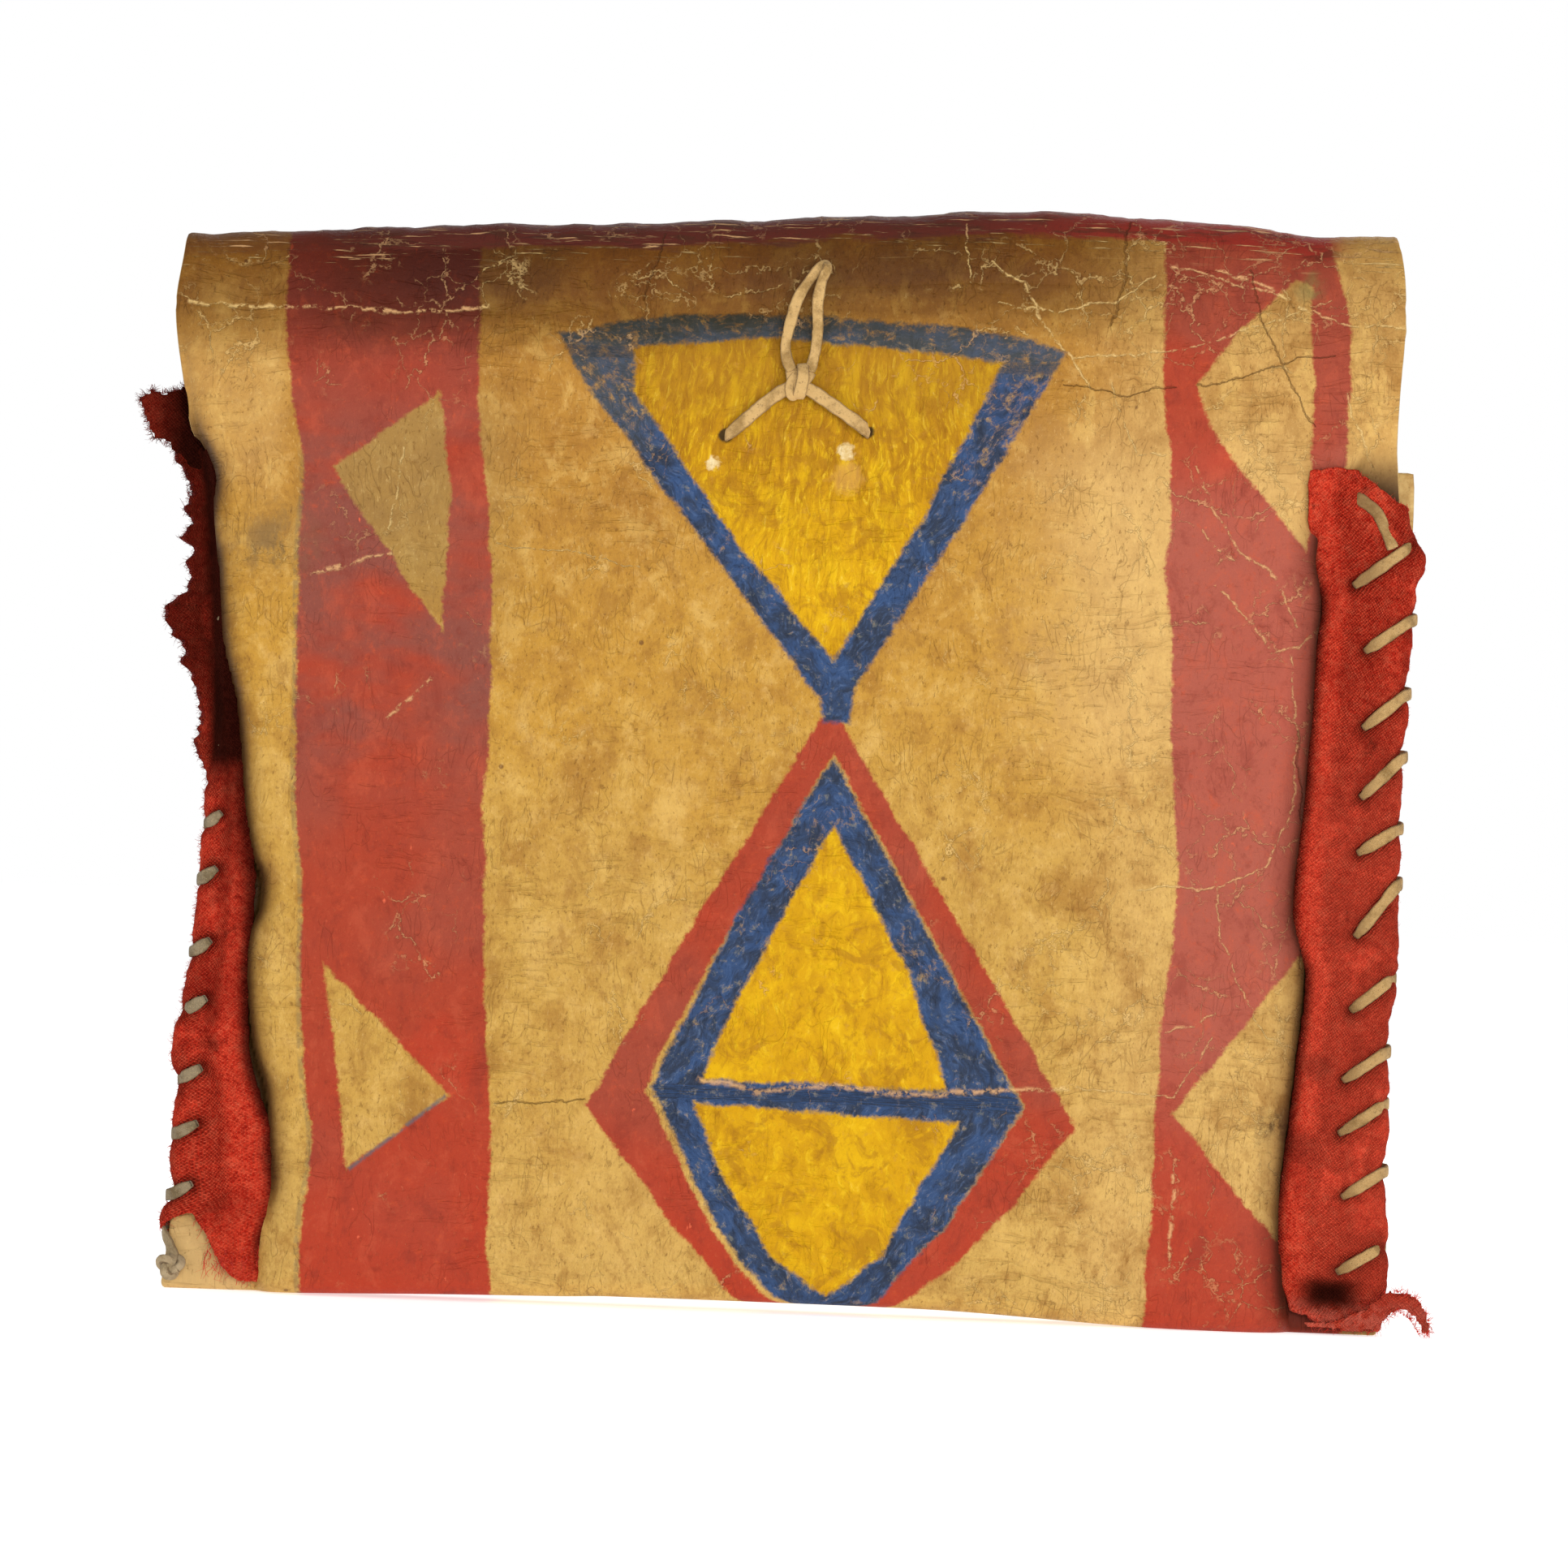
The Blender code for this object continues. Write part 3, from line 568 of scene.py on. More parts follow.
def folded_cloth(name, side, free, out, back, low, high, rows, stitches, flange=None, puff=0.0, seed=0.0,
                 front_at=None):
    """A strip of wool folded over a seam; its ends run along the lines low(a) and high(a).
    It stores "shade", painted shade for how far each point is down in a stitch groove, a hole, a pucker or a
    hollow, beside the hide or on the upper flange."""
    columns = 84
    a = np.linspace(0, 1, columns)
    t = np.linspace(0, 1, rows)
    z = low(a)[None] + (high(a) - low(a))[None] * t[:, None]
    ragged = np.stack([0 * z, z, 0 * z + seed * 5], -1)
    rough = bump_field(ragged, 3.2, seed, 3)
    end_wave = bump_field(np.stack([a * 40, a * 0, a * 0 + seed], -1), 1.6, seed, 3)
    z = z + np.outer(0.5 * np.sign(t - 0.5) * np.abs(2 * t - 1) ** 8, end_wave)
    frayed = flange(z) if flange is not None else 0.0 * z
    xf = free(z) + 0.45 * rough
    fine = bump_field(ragged + (0.0, 0.0, 31.0), 1.5, seed + 1.0, 2)
    xo = out(z) + ((0.35 + 0.8 * frayed) * rough + (0.15 + 0.8 * frayed) * fine) * side
    xb = back(z)
    turn = 2.0
    depth = np.full(z.shape, FACE - 0.1)
    part = np.clip(a / TURN_FROM, 0, 1)[None]
    part_b = np.clip((a - TURN_TO) / TURN_FROM, 0, 1)[None]
    phi = (np.clip((a - TURN_FROM) / (TURN_TO - TURN_FROM), 0, 1) * math.pi)[None]
    front = a[None] <= 0.5
    for _, (_, edge_z) in stitches:
        xo = xo - side * 0.9 * np.exp(-((z - edge_z) / 2.0) ** 2) * (1 - frayed)
    x_front = xf + part * (xo - side * turn - xf)
    x_back = xo - side * turn - part_b * (xo - side * turn - xb)
    x = np.where(front, x_front, x_back) + side * turn * np.sin(phi)
    y_sign = -np.cos(phi)
    cells = np.stack([x, z, np.sign(y_sign) * 40 + 0 * z], -1)
    swell = puff * (0.5 + 0.5 * np.cos((part - 0.42) * 2.6))
    swell = swell * (0.8 + 0.5 * bump_field(cells, 16.0, seed, 2))
    depth = depth + np.where(front, swell, 0.3 * swell)
    depth = depth + 0.26 * bump_field(cells, 4.0, seed + 2.0, 2)
    shade = np.zeros(z.shape)
    for stitch in stitches:
        near, from_hole = from_span(x, z, stitch)
        hole = np.exp(-from_hole / 4.0)
        groove = 0.75 * np.exp(-(near / 1.6) ** 2) + 0.9 * hole
        lump = 0.45 * np.exp(-((near - 4.0) / 2.0) ** 2)
        depth = depth + np.where(front, lump - groove, 0.4 * (lump - groove)) * (1 - frayed)
        shade = np.maximum(shade, np.maximum(0.75 * hole, 0.5 * np.exp(-(near / 2.4) ** 2)) * (1 - frayed))
    depth = np.maximum(depth, LEAST_FACE)
    if front_at is not None:
        rise, dark = front_at(x, z)
        depth = np.where(front, np.where(rise < LEAST_FACE, rise, np.maximum(depth, rise)), depth)
        shade = np.maximum(shade, np.where(front, dark, 0))
    else:
        # Painted shade on the front beside the hide, in a band that widens upwards.
        gap = 5.0 + 7.0 * step((z - 84.0) / 40.0)
        inner = step((x - xf + gap) / gap) * step(z / 12.0)
        shade = np.maximum(shade, np.where(front, 0.90 * inner ** 1.5, 0))
    if flange is not None:
        edge = line(EDGE_L if side < 0 else EDGE_R)(z)
        past = np.clip((side * (x - edge) + 0.5) / 3.0, 0, 1) * frayed
        depth = depth * (1 - past) + 0.85 * past
        y = y_sign * depth + past * (1.3 + 1.2 * rough + 1.6 * step((z - 196) / 8.0))
        # Painted shade over the flange: near black beside the hide, lighter at its rim, most of all lower
        # down.
        rim = step((side * (x - edge) - 1.2) / 3.2)
        shade = np.maximum(shade, frayed * (1.0 - rim * (0.70 - 0.42 * step((z - 136.0) / 24.0))))
    else:
        y = y_sign * depth
    grid = np.stack([x, y, z], 2)
    width = np.concatenate([[0], np.cumsum(np.linalg.norm(np.diff(grid[rows // 2], axis=0), axis=1))])
    coords = np.stack([np.repeat(width[None], rows, 0), z], 2)
    turned = slice(None) if side > 0 else slice(None, None, -1)
    made = slab(name, grid[:, turned], CLOTH, coords[:, turned], 0.3)
    shade = shade[:, turned]
    store(made, "shade", np.concatenate([shade.ravel()] * 2 + [around(shade)] * 3), "FLOAT")
    return made, grid


def right_front(x, z):
    """The right binding lies over the swell of the hide at its top and is hollow above its lower hem."""
    over = step((z - 193.0) / 8.0)
    on_hide = (wall_depth(np.minimum(x, 137.0), z, FRONT) + 1.9) * over + LEAST_FACE * (1 - over)
    hollow = np.exp(-((x - 138.8) / 7.6) ** 4 - ((z - 10.2) / 4.0) ** 4)
    hem = np.exp(-((z - 3.6) / 2.0) ** 2) * step((x - 128.0) / 5.0)
    foot = lerp_line(FREE_R, z)
    # Painted shade along the free edge where it meets the hide; the second value returned, with the hollow,
    # is painted shade.
    under = step((foot + 3.0 - x) / 3.4) * step((z - 10.0) / 10.0) * step((202.0 - z) / 8.0)
    rise = np.where(z > 30.0, on_hide, LEAST_FACE + 2.4 * hem - 0.9 * hollow)
    return rise, np.maximum(hollow, 0.90 * under)


rng = random.Random(11)
right_cloth, right_grid = folded_cloth(
    "right_binding", 1, line(FREE_R), line(OUT_R), lambda z: 130.0 + 0 * z,
    line(((0, 6.6), (0.08, 4.6), (0.2, 2.6), (0.44, 1.4), (0.56, 1.4), (1, 2.6))),
    line(((0, 212.6), (0.12, 213.6), (0.24, 212.6), (0.34, 209.6), (0.44, 206.0), (0.56, 205.2), (1, 205.0))),
    215, STITCH_R, puff=1.7, seed=2.3, front_at=right_front)
left_cloth, left_grid = folded_cloth(
    "left_binding", -1, line(FREE_L), line(OUT_L), lambda z: -129.0 + 0 * z,
    line(((0, 3.0), (0.1, 3.2), (0.2, 8.0), (0.27, 14.5), (0.34, 19.0), (0.44, 17.0), (0.5, 15.0),
          (0.56, 12.0), (0.7, 4.0), (1, 2.6))),
    line(((0, 207.6), (1, 207.6))),
    320, STITCH_L, flange=lambda z: step((z - 121) / 12.0), puff=0.9, seed=8.8)


def edge_seeds(grid, side, rows, count, length):
    """Yarn ends along one border of a cloth: 'low', 'high', 'free' or 'outer'."""
    seeds = []
    n_rows, n_cols = grid.shape[:2]
    for _ in range(count):
        if rows in ("low", "high"):
            j = rng.randrange(2, n_cols - 2)
            i = 0 if rows == "low" else n_rows - 1
            inward = grid[1 if i == 0 else -2, j] - grid[i, j]
            out = -unit(inward)
        else:
            j = 0 if rows == "free" else n_cols // 2
            i = rng.randrange(2, n_rows - 2)
            out = np.array([-side if rows == "free" else side, 0, 0], float)
        inwards = 1 if grid[i, j][1] < 0 else -1
        base = grid[i, j] - out * 0.7 + np.array([0, rng.uniform(0, 1.2) * inwards, 0])
        d = out + np.array([rng.gauss(0, 0.35), rng.gauss(0, 0.28), rng.gauss(0, 0.35)])
        seeds.append((base, d, rng.uniform(*length)))
    return seeds


right_seeds = []
for rows, count, length in (("high", 190, (0.5, 1.7)), ("low", 150, (0.6, 2.0)),
                            ("free", 420, (0.3, 1.0)), ("outer", 620, (0.3, 1.1))):
    right_seeds += edge_seeds(right_grid, 1, rows, count, length)
right_fuzz = fibres("right_binding_yarns", right_seeds, 0.085)
left_seeds = []
for rows, count, length in (("low", 150, (0.8, 2.6)), ("free", 320, (0.3, 0.9)), ("outer", 1900, (0.3, 1.6))):
    left_seeds += edge_seeds(left_grid, -1, rows, count, length)
for _ in range(75):
    base = (rng.uniform(-139.5, -125.0), -FACE - rng.uniform(-0.2, 1.0), rng.uniform(6.5, 11.5))
    left_seeds.append((base, (rng.gauss(-0.1, 0.3), -0.1, -1.0), rng.uniform(2.2, 5.2)))
left_fuzz = fibres("left_binding_yarns", left_seeds, 0.09)


def loose_piece(name, outline, y_of, seed, shade, thick=1.4):
    """A ragged flat piece of cloth from its outline in x and z, waved by y_of."""
    outline = np.asarray(outline, float)
    lo, hi = outline.min(0) - 1, outline.max(0) + 1
    gx, gz = np.meshgrid(np.arange(lo[0], hi[0], 0.7), np.arange(lo[1], hi[1], 0.7))
    flat = np.stack([gx, gz, 0 * gx], -1)
    jag = 0.7 * bump_field(flat, 1.6, seed, 3)
    inside = np.zeros(gx.shape, bool)
    dist = np.full(gx.shape, 1e9)
    for (ax, az), (bx, bz) in zip(outline, np.roll(outline, -1, 0)):
        hit = ((az > gz) != (bz > gz))
        cross_x = ax + (gz - az) * (bx - ax) / np.where(abs(bz - az) < 1e-9, 1e-9, bz - az)
        inside ^= hit & (gx < cross_x)
        dist = np.minimum(dist, from_span(gx, gz, ((ax, az), (bx, bz)))[0])
    keep = np.where(inside, dist, -dist) + jag > 0
    y = y_of(gx, gz) + 0.25 * bump_field(flat, 3.0, seed + 4, 2)
    corner = {}
    verts, coords, faces, dark = [], [], [], []

    def vert(i, j, layer):
        key = (i, j, layer)
        if key not in corner:
            corner[key] = len(verts)
            verts.append((gx[i, j], y[i, j] + (thick / 2 if layer else -thick / 2), gz[i, j]))
            coords.append((gx[i, j] - lo[0], gz[i, j], 0.0))
            dark.append(shade(gx[i, j], gz[i, j]))
        return corner[key]

    cell = keep[:-1, :-1] & keep[1:, 1:] & keep[:-1, 1:] & keep[1:, :-1]
    sides = ((-1, 0, (0, 0), (0, 1)), (0, 1, (0, 1), (1, 1)), (1, 0, (1, 1), (1, 0)), (0, -1, (1, 0), (0, 0)))
    for i, j in zip(*np.nonzero(cell)):
        faces.append((vert(i, j, 0), vert(i, j + 1, 0), vert(i + 1, j + 1, 0), vert(i + 1, j, 0)))
        faces.append((vert(i, j, 1), vert(i + 1, j, 1), vert(i + 1, j + 1, 1), vert(i, j + 1, 1)))
        for di, dj, p, q in sides:
            ni, nj = i + di, j + dj
            if not (0 <= ni < cell.shape[0] and 0 <= nj < cell.shape[1] and cell[ni, nj]):
                a, b = (i + p[0], j + p[1]), (i + q[0], j + q[1])
                faces.append((vert(*b, 0), vert(*a, 0), vert(*a, 1), vert(*b, 1)))
    made = link(name, verts, faces)
    store(made, "sheet", coords)
    store(made, "shade", dark, "FLOAT")
    smooth = made.modifiers.new("soft", "SMOOTH")
    smooth.factor = 0.5
    smooth.iterations = 4
    return made


SCRAP = ((-146.0, 205.0), (-148.0, 227.5), (-151.6, 226.0), (-155.0, 223.2), (-157.4, 222.6), (-159.6, 222.2),
         (-161.6, 223.2), (-165.2, 220.4), (-163.8, 216.6), (-162.6, 213.0), (-161.2, 210.0),
         (-158.6, 209.6), (-156.4, 208.2), (-153.8, 205.6), (-151.8, 200.6), (-150.2, 194.0), (-145.5, 193.0))
# The scrap is darkened as painted shade, a little less towards its outer end.
scrap = loose_piece("left_binding_scrap", SCRAP, lambda x, z: 2.2 + 0.05 * (z - 205), 4.4,
                    lambda x, z: 1.0 - 0.24 * float(step((-152.0 - x) / 8.0)))
TAIL = ((130.9, 4.2), (136.4, 3.4), (141.9, 5.0), (147.3, 7.6), (152.5, 11.2), (156.1, 12.0), (160.6, 10.6),
        (163.7, 6.4), (164.7, 2.6), (163.8, 0.7), (162.3, 0.8), (160.9, 3.2), (159.3, 5.4), (156.6, 6.8),
        (153.9, 4.2), (150.2, 1.2), (145.7, 0.9), (140.1, 0.8), (134.7, 1.2), (131.0, 2.6))
# The tail gets a little painted shade along its lowest edge.
tail = loose_piece("right_binding_tail", TAIL,
                   lambda x, z: -6.9 + 4.6 * step((x - 146.0) / 14.0) + 0.9 * np.exp(-((x - 155) / 3.0) ** 2),
                   6.1, lambda x, z: 0.12 * float(step((5.0 - z) / 4.0)), thick=1.9)


def outline_seeds(outline, y, count, length, skip):
    """Yarn ends round an outline, apart from the spans listed in skip."""
    pts = np.asarray(outline, float)
    centre = pts.mean(0)
    seeds = []
    spans = [k for k in range(len(pts)) if k not in skip]
    for _ in range(count):
        k = rng.choice(spans)
        a, b = pts[k], pts[(k + 1) % len(pts)]
        at = a + (b - a) * rng.random()
        out = unit(np.array([b[1] - a[1], -(b[0] - a[0])]))
        if np.dot(out, at - centre) < 0:
            out = -out
        base = (at[0] - out[0] * 0.8, y + rng.uniform(-0.6, 0.6), at[1] - out[1] * 0.8)
        d = (out[0] + rng.gauss(0, 0.4), rng.gauss(0, 0.3), out[1] + rng.gauss(0, 0.4))
        seeds.append((base, d, rng.uniform(*length)))
    return seeds


torn = [((-163.0, 2.9, 219.5), (-1.0, 0, 0.45), rng.uniform(1.2, 2.6)) for _ in range(14)]
scrap_seeds = outline_seeds(SCRAP, 2.9, 420, (0.4, 1.7), (0, 15, 16)) + torn
scrap_fuzz = fibres("left_scrap_yarns", scrap_seeds, 0.085)
tail_fuzz = fibres("right_tail_yarns", outline_seeds(TAIL, -4.6, 320, (0.5, 2.0), (0, 18, 19)), 0.09)

# The lacing -------------------------------------------------------------------------------------

NX, NY = np.array([1.0, 0, 0]), np.array([0, 1.0, 0])


def whipstitch(stitches, side, face, back, tucked=math.inf):
    """Knots of one lacing thong: out of a hole, slanting over the cloth to the edge and round behind it.
    From the stitch numbered `tucked` on, the thong lies lower."""
    knots = []
    for i, ((hx, hz), (ex, ez)) in enumerate(stitches):
        hole, edge = np.array([hx, 0, hz]), np.array([ex, 0, ez])
        d = unit(edge - hole)
        front = face - (1.6 if i >= tucked else 0.0)
        if side > 0:
            nx, nz = stitches[i + 1][0] if i + 1 < len(stitches) else (hx - 1.5, hz + 20.0)
            after = np.array([nx, 0, nz])
            knots += [
                (hole - d * 0.2 + NY * 1.0, -d),
                (hole - d * 0.1 - NY * (front - 0.9), -d * 0.9 - NY * 0.5),
                (hole + d * 1.5 - NY * (front + 0.25), -NY),
                (hole + (edge - hole) * 0.6 - NY * (front + 0.3), -NY),
                (edge - d * 1.6 - NY * (front - 0.5), -NY + 0.5 * NX),
                (edge + NX * 0.75, NX),
                (edge - NX * 1.4 + NY * (back - 0.2) + (after - edge) * 0.1, NY),
                (edge * 0.45 + after * 0.55 + NY * (back + 0.35), NY),
                (after + NY * (back - 0.4), NY - d * 0.3),
            ]
        else:
            bx, bz = stitches[i - 1][0] if i else (hx, hz - 12.0)
            before = np.array([bx, 0, bz])
            knots += [
                (before * 0.45 + edge * 0.55 + NY * (back + 0.3), NY),
                (edge + NX * 1.4 + NY * (back - 0.2), NY - 0.4 * NX),
                (edge - NX * 0.65, -NX),
                (edge - d * 1.2 - NY * (front - 0.3), -NY),
                (hole * 0.7 + edge * 0.3 - NY * (front + 0.2), -NY),
                (hole + d * 0.3 - NY * (front - 0.6), -NY + d * 0.8),
                (hole + NY * 0.5, d),
                (hole + NY * (back - 0.6), NY + d * 0.6),
            ]
    return knots


right_knots = whipstitch(STITCH_R, 1, FACE + 0.65, FACE + 0.5)
right_knots += [((137.6, 1.0, 206.9), -NX), ((137.8, -4.6, 207.1), -NX - NY * 0.6),
                ((139.6, -5.6, 206.2), -NY), ((143.0, -5.5, 203.6), -NY + 0.15 * NX),
                ((145.4, -5.2, 199.0), -NY + 0.3 * NX), ((147.2, -5.7, 195.0), -NY)]
right_lacing = thong("right_thong", right_knots, 2.95, 0.9, seed=3, pinch=[hole for hole, _ in STITCH_R])
left_knots = [((-147.2, -MARGIN - 1.2, 8.0), -NY), ((-148.4, -MARGIN - 1.0, 11.0), -NY - NX),
              ((-150.2, -0.4, 14.6), -NX), ((-148.2, FACE - 0.8, 17.4), NY - NX)]
left_knots += whipstitch(STITCH_L[1:], -1, FACE + 0.55, FACE + 0.5, TUCKED - 1)
left_lacing = thong("left_thong", left_knots, 3.0, 0.9, seed=5, pinch=[hole for hole, _ in STITCH_L[1:]])


def overhand_knot(name, centre, size, width, thick, seed, spin=0.0):
    """An overhand knot pulled tight: a trefoil of one strip, flattened from front to back."""
    knots = []
    for k in range(25):
        t = 2 * math.pi * k / 24 + spin
        x, z = math.sin(t) + 2 * math.sin(2 * t), math.cos(t) - 2 * math.cos(2 * t)
        y = -math.sin(3 * t)
        point = np.asarray(centre) + np.array([x * size[0] / 3, y * size[1], z * size[2] / 3])
        knots.append((point, unit((0.55 * x / 3, -1.0, 0.55 * z / 3))))
    return thong(name, knots, width, thick, per=6, seed=seed, thinning=0.1)


lower_knot = overhand_knot("left_corner_knot", (-147.9, -4.4, 5.7), (3.0, 1.15, 2.6), 2.15, 1.4, 7, 0.4)
lower_core = thong("left_corner_knot_core", [
    ((-147.2, -3.4, 8.0), -NY), ((-147.4, -4.8, 7.2), -NY), ((-147.8, -5.0, 5.4), -NY),
    ((-148.0, -3.6, 3.6), -NY), ((-147.0, -2.6, 4.4), NY)], 2.3, 1.3, seed=9)
back_knot_l = overhand_knot("left_back_knot", (-139.8, FACE + 1.6, 205.6), (2.0, 0.7, 2.0), 2.0, 1.2, 4)
back_knot_r = overhand_knot("right_back_knot", (140.9, FACE + 1.6, 15.8), (2.1, 0.7, 2.1), 2.0, 1.2, 6, 1.0)

# The tie ----------------------------------------------------------------------------------------

def at(x, z, lift=0.0):
    """A place `lift` mm in front of the middle of a thong that lies on the front wall."""
    return (x, -FRONT - 1.0 - lift, z)


tie_legs_l = thong("tie_leg_left", [
    ((-8.0, -FRONT + HIDE + 0.9, 216.0), NY), ((-17.0, -FRONT + HIDE + 0.8, 216.0), NY),
    ((-18.5, -FRONT + 1.2, 216.1), -NX), (at(-17.2, 217.0, -0.3), -NY - NX * 0.5),
    (at(-14.2, 219.8, 0.2), -NY), (at(-9.4, 224.2, 0.1), -NY), (at(-5.4, 227.3, 0.3), -NY),
    (at(-2.2, 228.6, 0.9), -NY), (at(0.0, 230.0, 0.8), -NY), (at(1.3, 232.6, 0.5), -NY)], 3.4, 0.85, seed=12)
tie_legs_r = thong("tie_leg_right", [
    ((-8.0, -FRONT + HIDE + 0.9, 216.0), NY), ((14.6, -FRONT + HIDE + 0.8, 218.2), NY),
    ((16.0, -FRONT + 1.2, 218.5), NX), (at(14.7, 219.6, -0.3), -NY + NX * 0.5),
    (at(10.6, 222.4, 0.2), -NY), (at(5.6, 225.6, 0.1), -NY), (at(1.8, 227.9, 0.5), -NY),
    (at(-1.0, 228.8, 1.3), -NY), (at(-2.6, 230.6, 1.0), -NY), (at(-3.0, 233.0, 0.5), -NY)],
    3.4, 0.85, seed=14)
tie_wrap = thong("tie_knot_wrap", [
    (at(-0.7, 233.0, -0.6), NY), (at(-0.5, 234.0, 0.6), (0, -0.6, 1.0)), (at(-0.2, 232.6, 2.0), -NY),
    (at(-0.3, 229.8, 2.4), -NY), (at(-0.8, 227.2, 2.1), (0, -1.0, -0.4)),
    (at(-1.2, 226.0, 0.7), (0, -0.3, -1.0)), (at(-1.0, 226.8, -0.6), NY)], 2.9, 1.0, seed=15, per=8)
tie_side = thong("tie_knot_side", [
    (at(-0.8, 227.6, 0.1), (0.4, 0, -1.0)), (at(-2.4, 226.0, 1.0), (-0.3, -0.8, -0.6)),
    (at(-3.4, 227.4, 1.5), -NY), (at(-3.2, 229.8, 1.3), -NY), (at(-2.0, 231.6, 0.9), -NY)],
    2.3, 0.9, seed=16, per=8)
loop = thong("tie_loop_strip", [
    (at(-3.0, 232.7, 1.0), -NY), (at(-4.2, 235.0, 0.8), -NY), (at(-4.8, 238.6, 0.7), -NY),
    (at(-4.0, 243.6, 0.6), -NY), (at(-2.2, 250.4, 0.4), (0.15, -1, 0)),
    (at(1.0, 255.8, 0.5), (0.25, -1, 0.0)), (at(3.8, 259.0, 0.9), (0.2, -0.9, 0.5)),
    (at(4.8, 258.2, 1.9), (0.5, -0.6, 0.6)), (at(3.6, 255.0, 1.7), (-0.2, -1, 0)),
    (at(2.7, 249.6, 1.0), -NY), (at(3.0, 243.4, 0.75), (-0.3, -1, 0)), (at(2.7, 238.6, 0.7), -NY),
    (at(2.1, 235.2, 0.8), -NY), (at(1.4, 232.7, 0.9), -NY)], 2.7, 0.9, seed=18, per=8)

CLOTHS = (right_cloth, left_cloth, scrap, tail)
YARNS = (right_fuzz, left_fuzz, scrap_fuzz, tail_fuzz)
THONGS = (right_lacing, left_lacing, lower_knot, lower_core, back_knot_l, back_knot_r, tie_legs_l, tie_legs_r,
          tie_wrap, tie_side)
for piece in CLOTHS + YARNS + THONGS:
    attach(piece, "case")
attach(loop, "loop")
for piece, node in ((right_cloth, "right_cloth"), (left_cloth, "left_cloth"), (scrap, "left_cloth_scrap"),
                    (tail, "right_cloth_tail"), (right_lacing, "right_lacing"), (left_lacing, "left_lacing"),
                    (lower_knot, "left_lower_knot"), (back_knot_l, "left_upper_knot"),
                    (back_knot_r, "right_lower_knot"), (tie_legs_l, "tie_thong"), (tie_wrap, "tie_knot"),
                    (loop, "tie_loop")):
    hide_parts(node)
for piece in CLOTHS + YARNS:
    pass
for piece in THONGS + (loop,):
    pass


# Materials --------------------------------------------------------------------------------------


def rgb(r, g, b):
    """Linear colour from 0-255 display values."""
    return tuple((c / 255 / 12.92 if c / 255 <= 0.04045 else ((c / 255 + 0.055) / 1.055) ** 2.4)
                 for c in (r, g, b)) + (1.0,)


class Sock:
    """A node output that takes part in arithmetic, as a number or as a vector."""

    def __init__(self, tree, out):
        self.tree, self.out = tree, out

    def operate(self, op, other):
        return (self.tree.vmath if self.out.type == "VECTOR" else self.tree.math)(op, self, other)

    def __add__(self, other):
        return self.operate("ADD", other)

    def __sub__(self, other):
        return self.operate("SUBTRACT", other)

    def __rsub__(self, other):
        return self.tree.math("SUBTRACT", other, self)

    def __neg__(self):
        return 0.0 - self

    def __mul__(self, other):
        return self.operate("MULTIPLY", other)

    def __or__(self, other):
        return self.tree.math("MAXIMUM", self, other)

    def __and__(self, other):
        return self.tree.math("MINIMUM", self, other)

    def __abs__(self):
        return self.tree.math("ABSOLUTE", self)


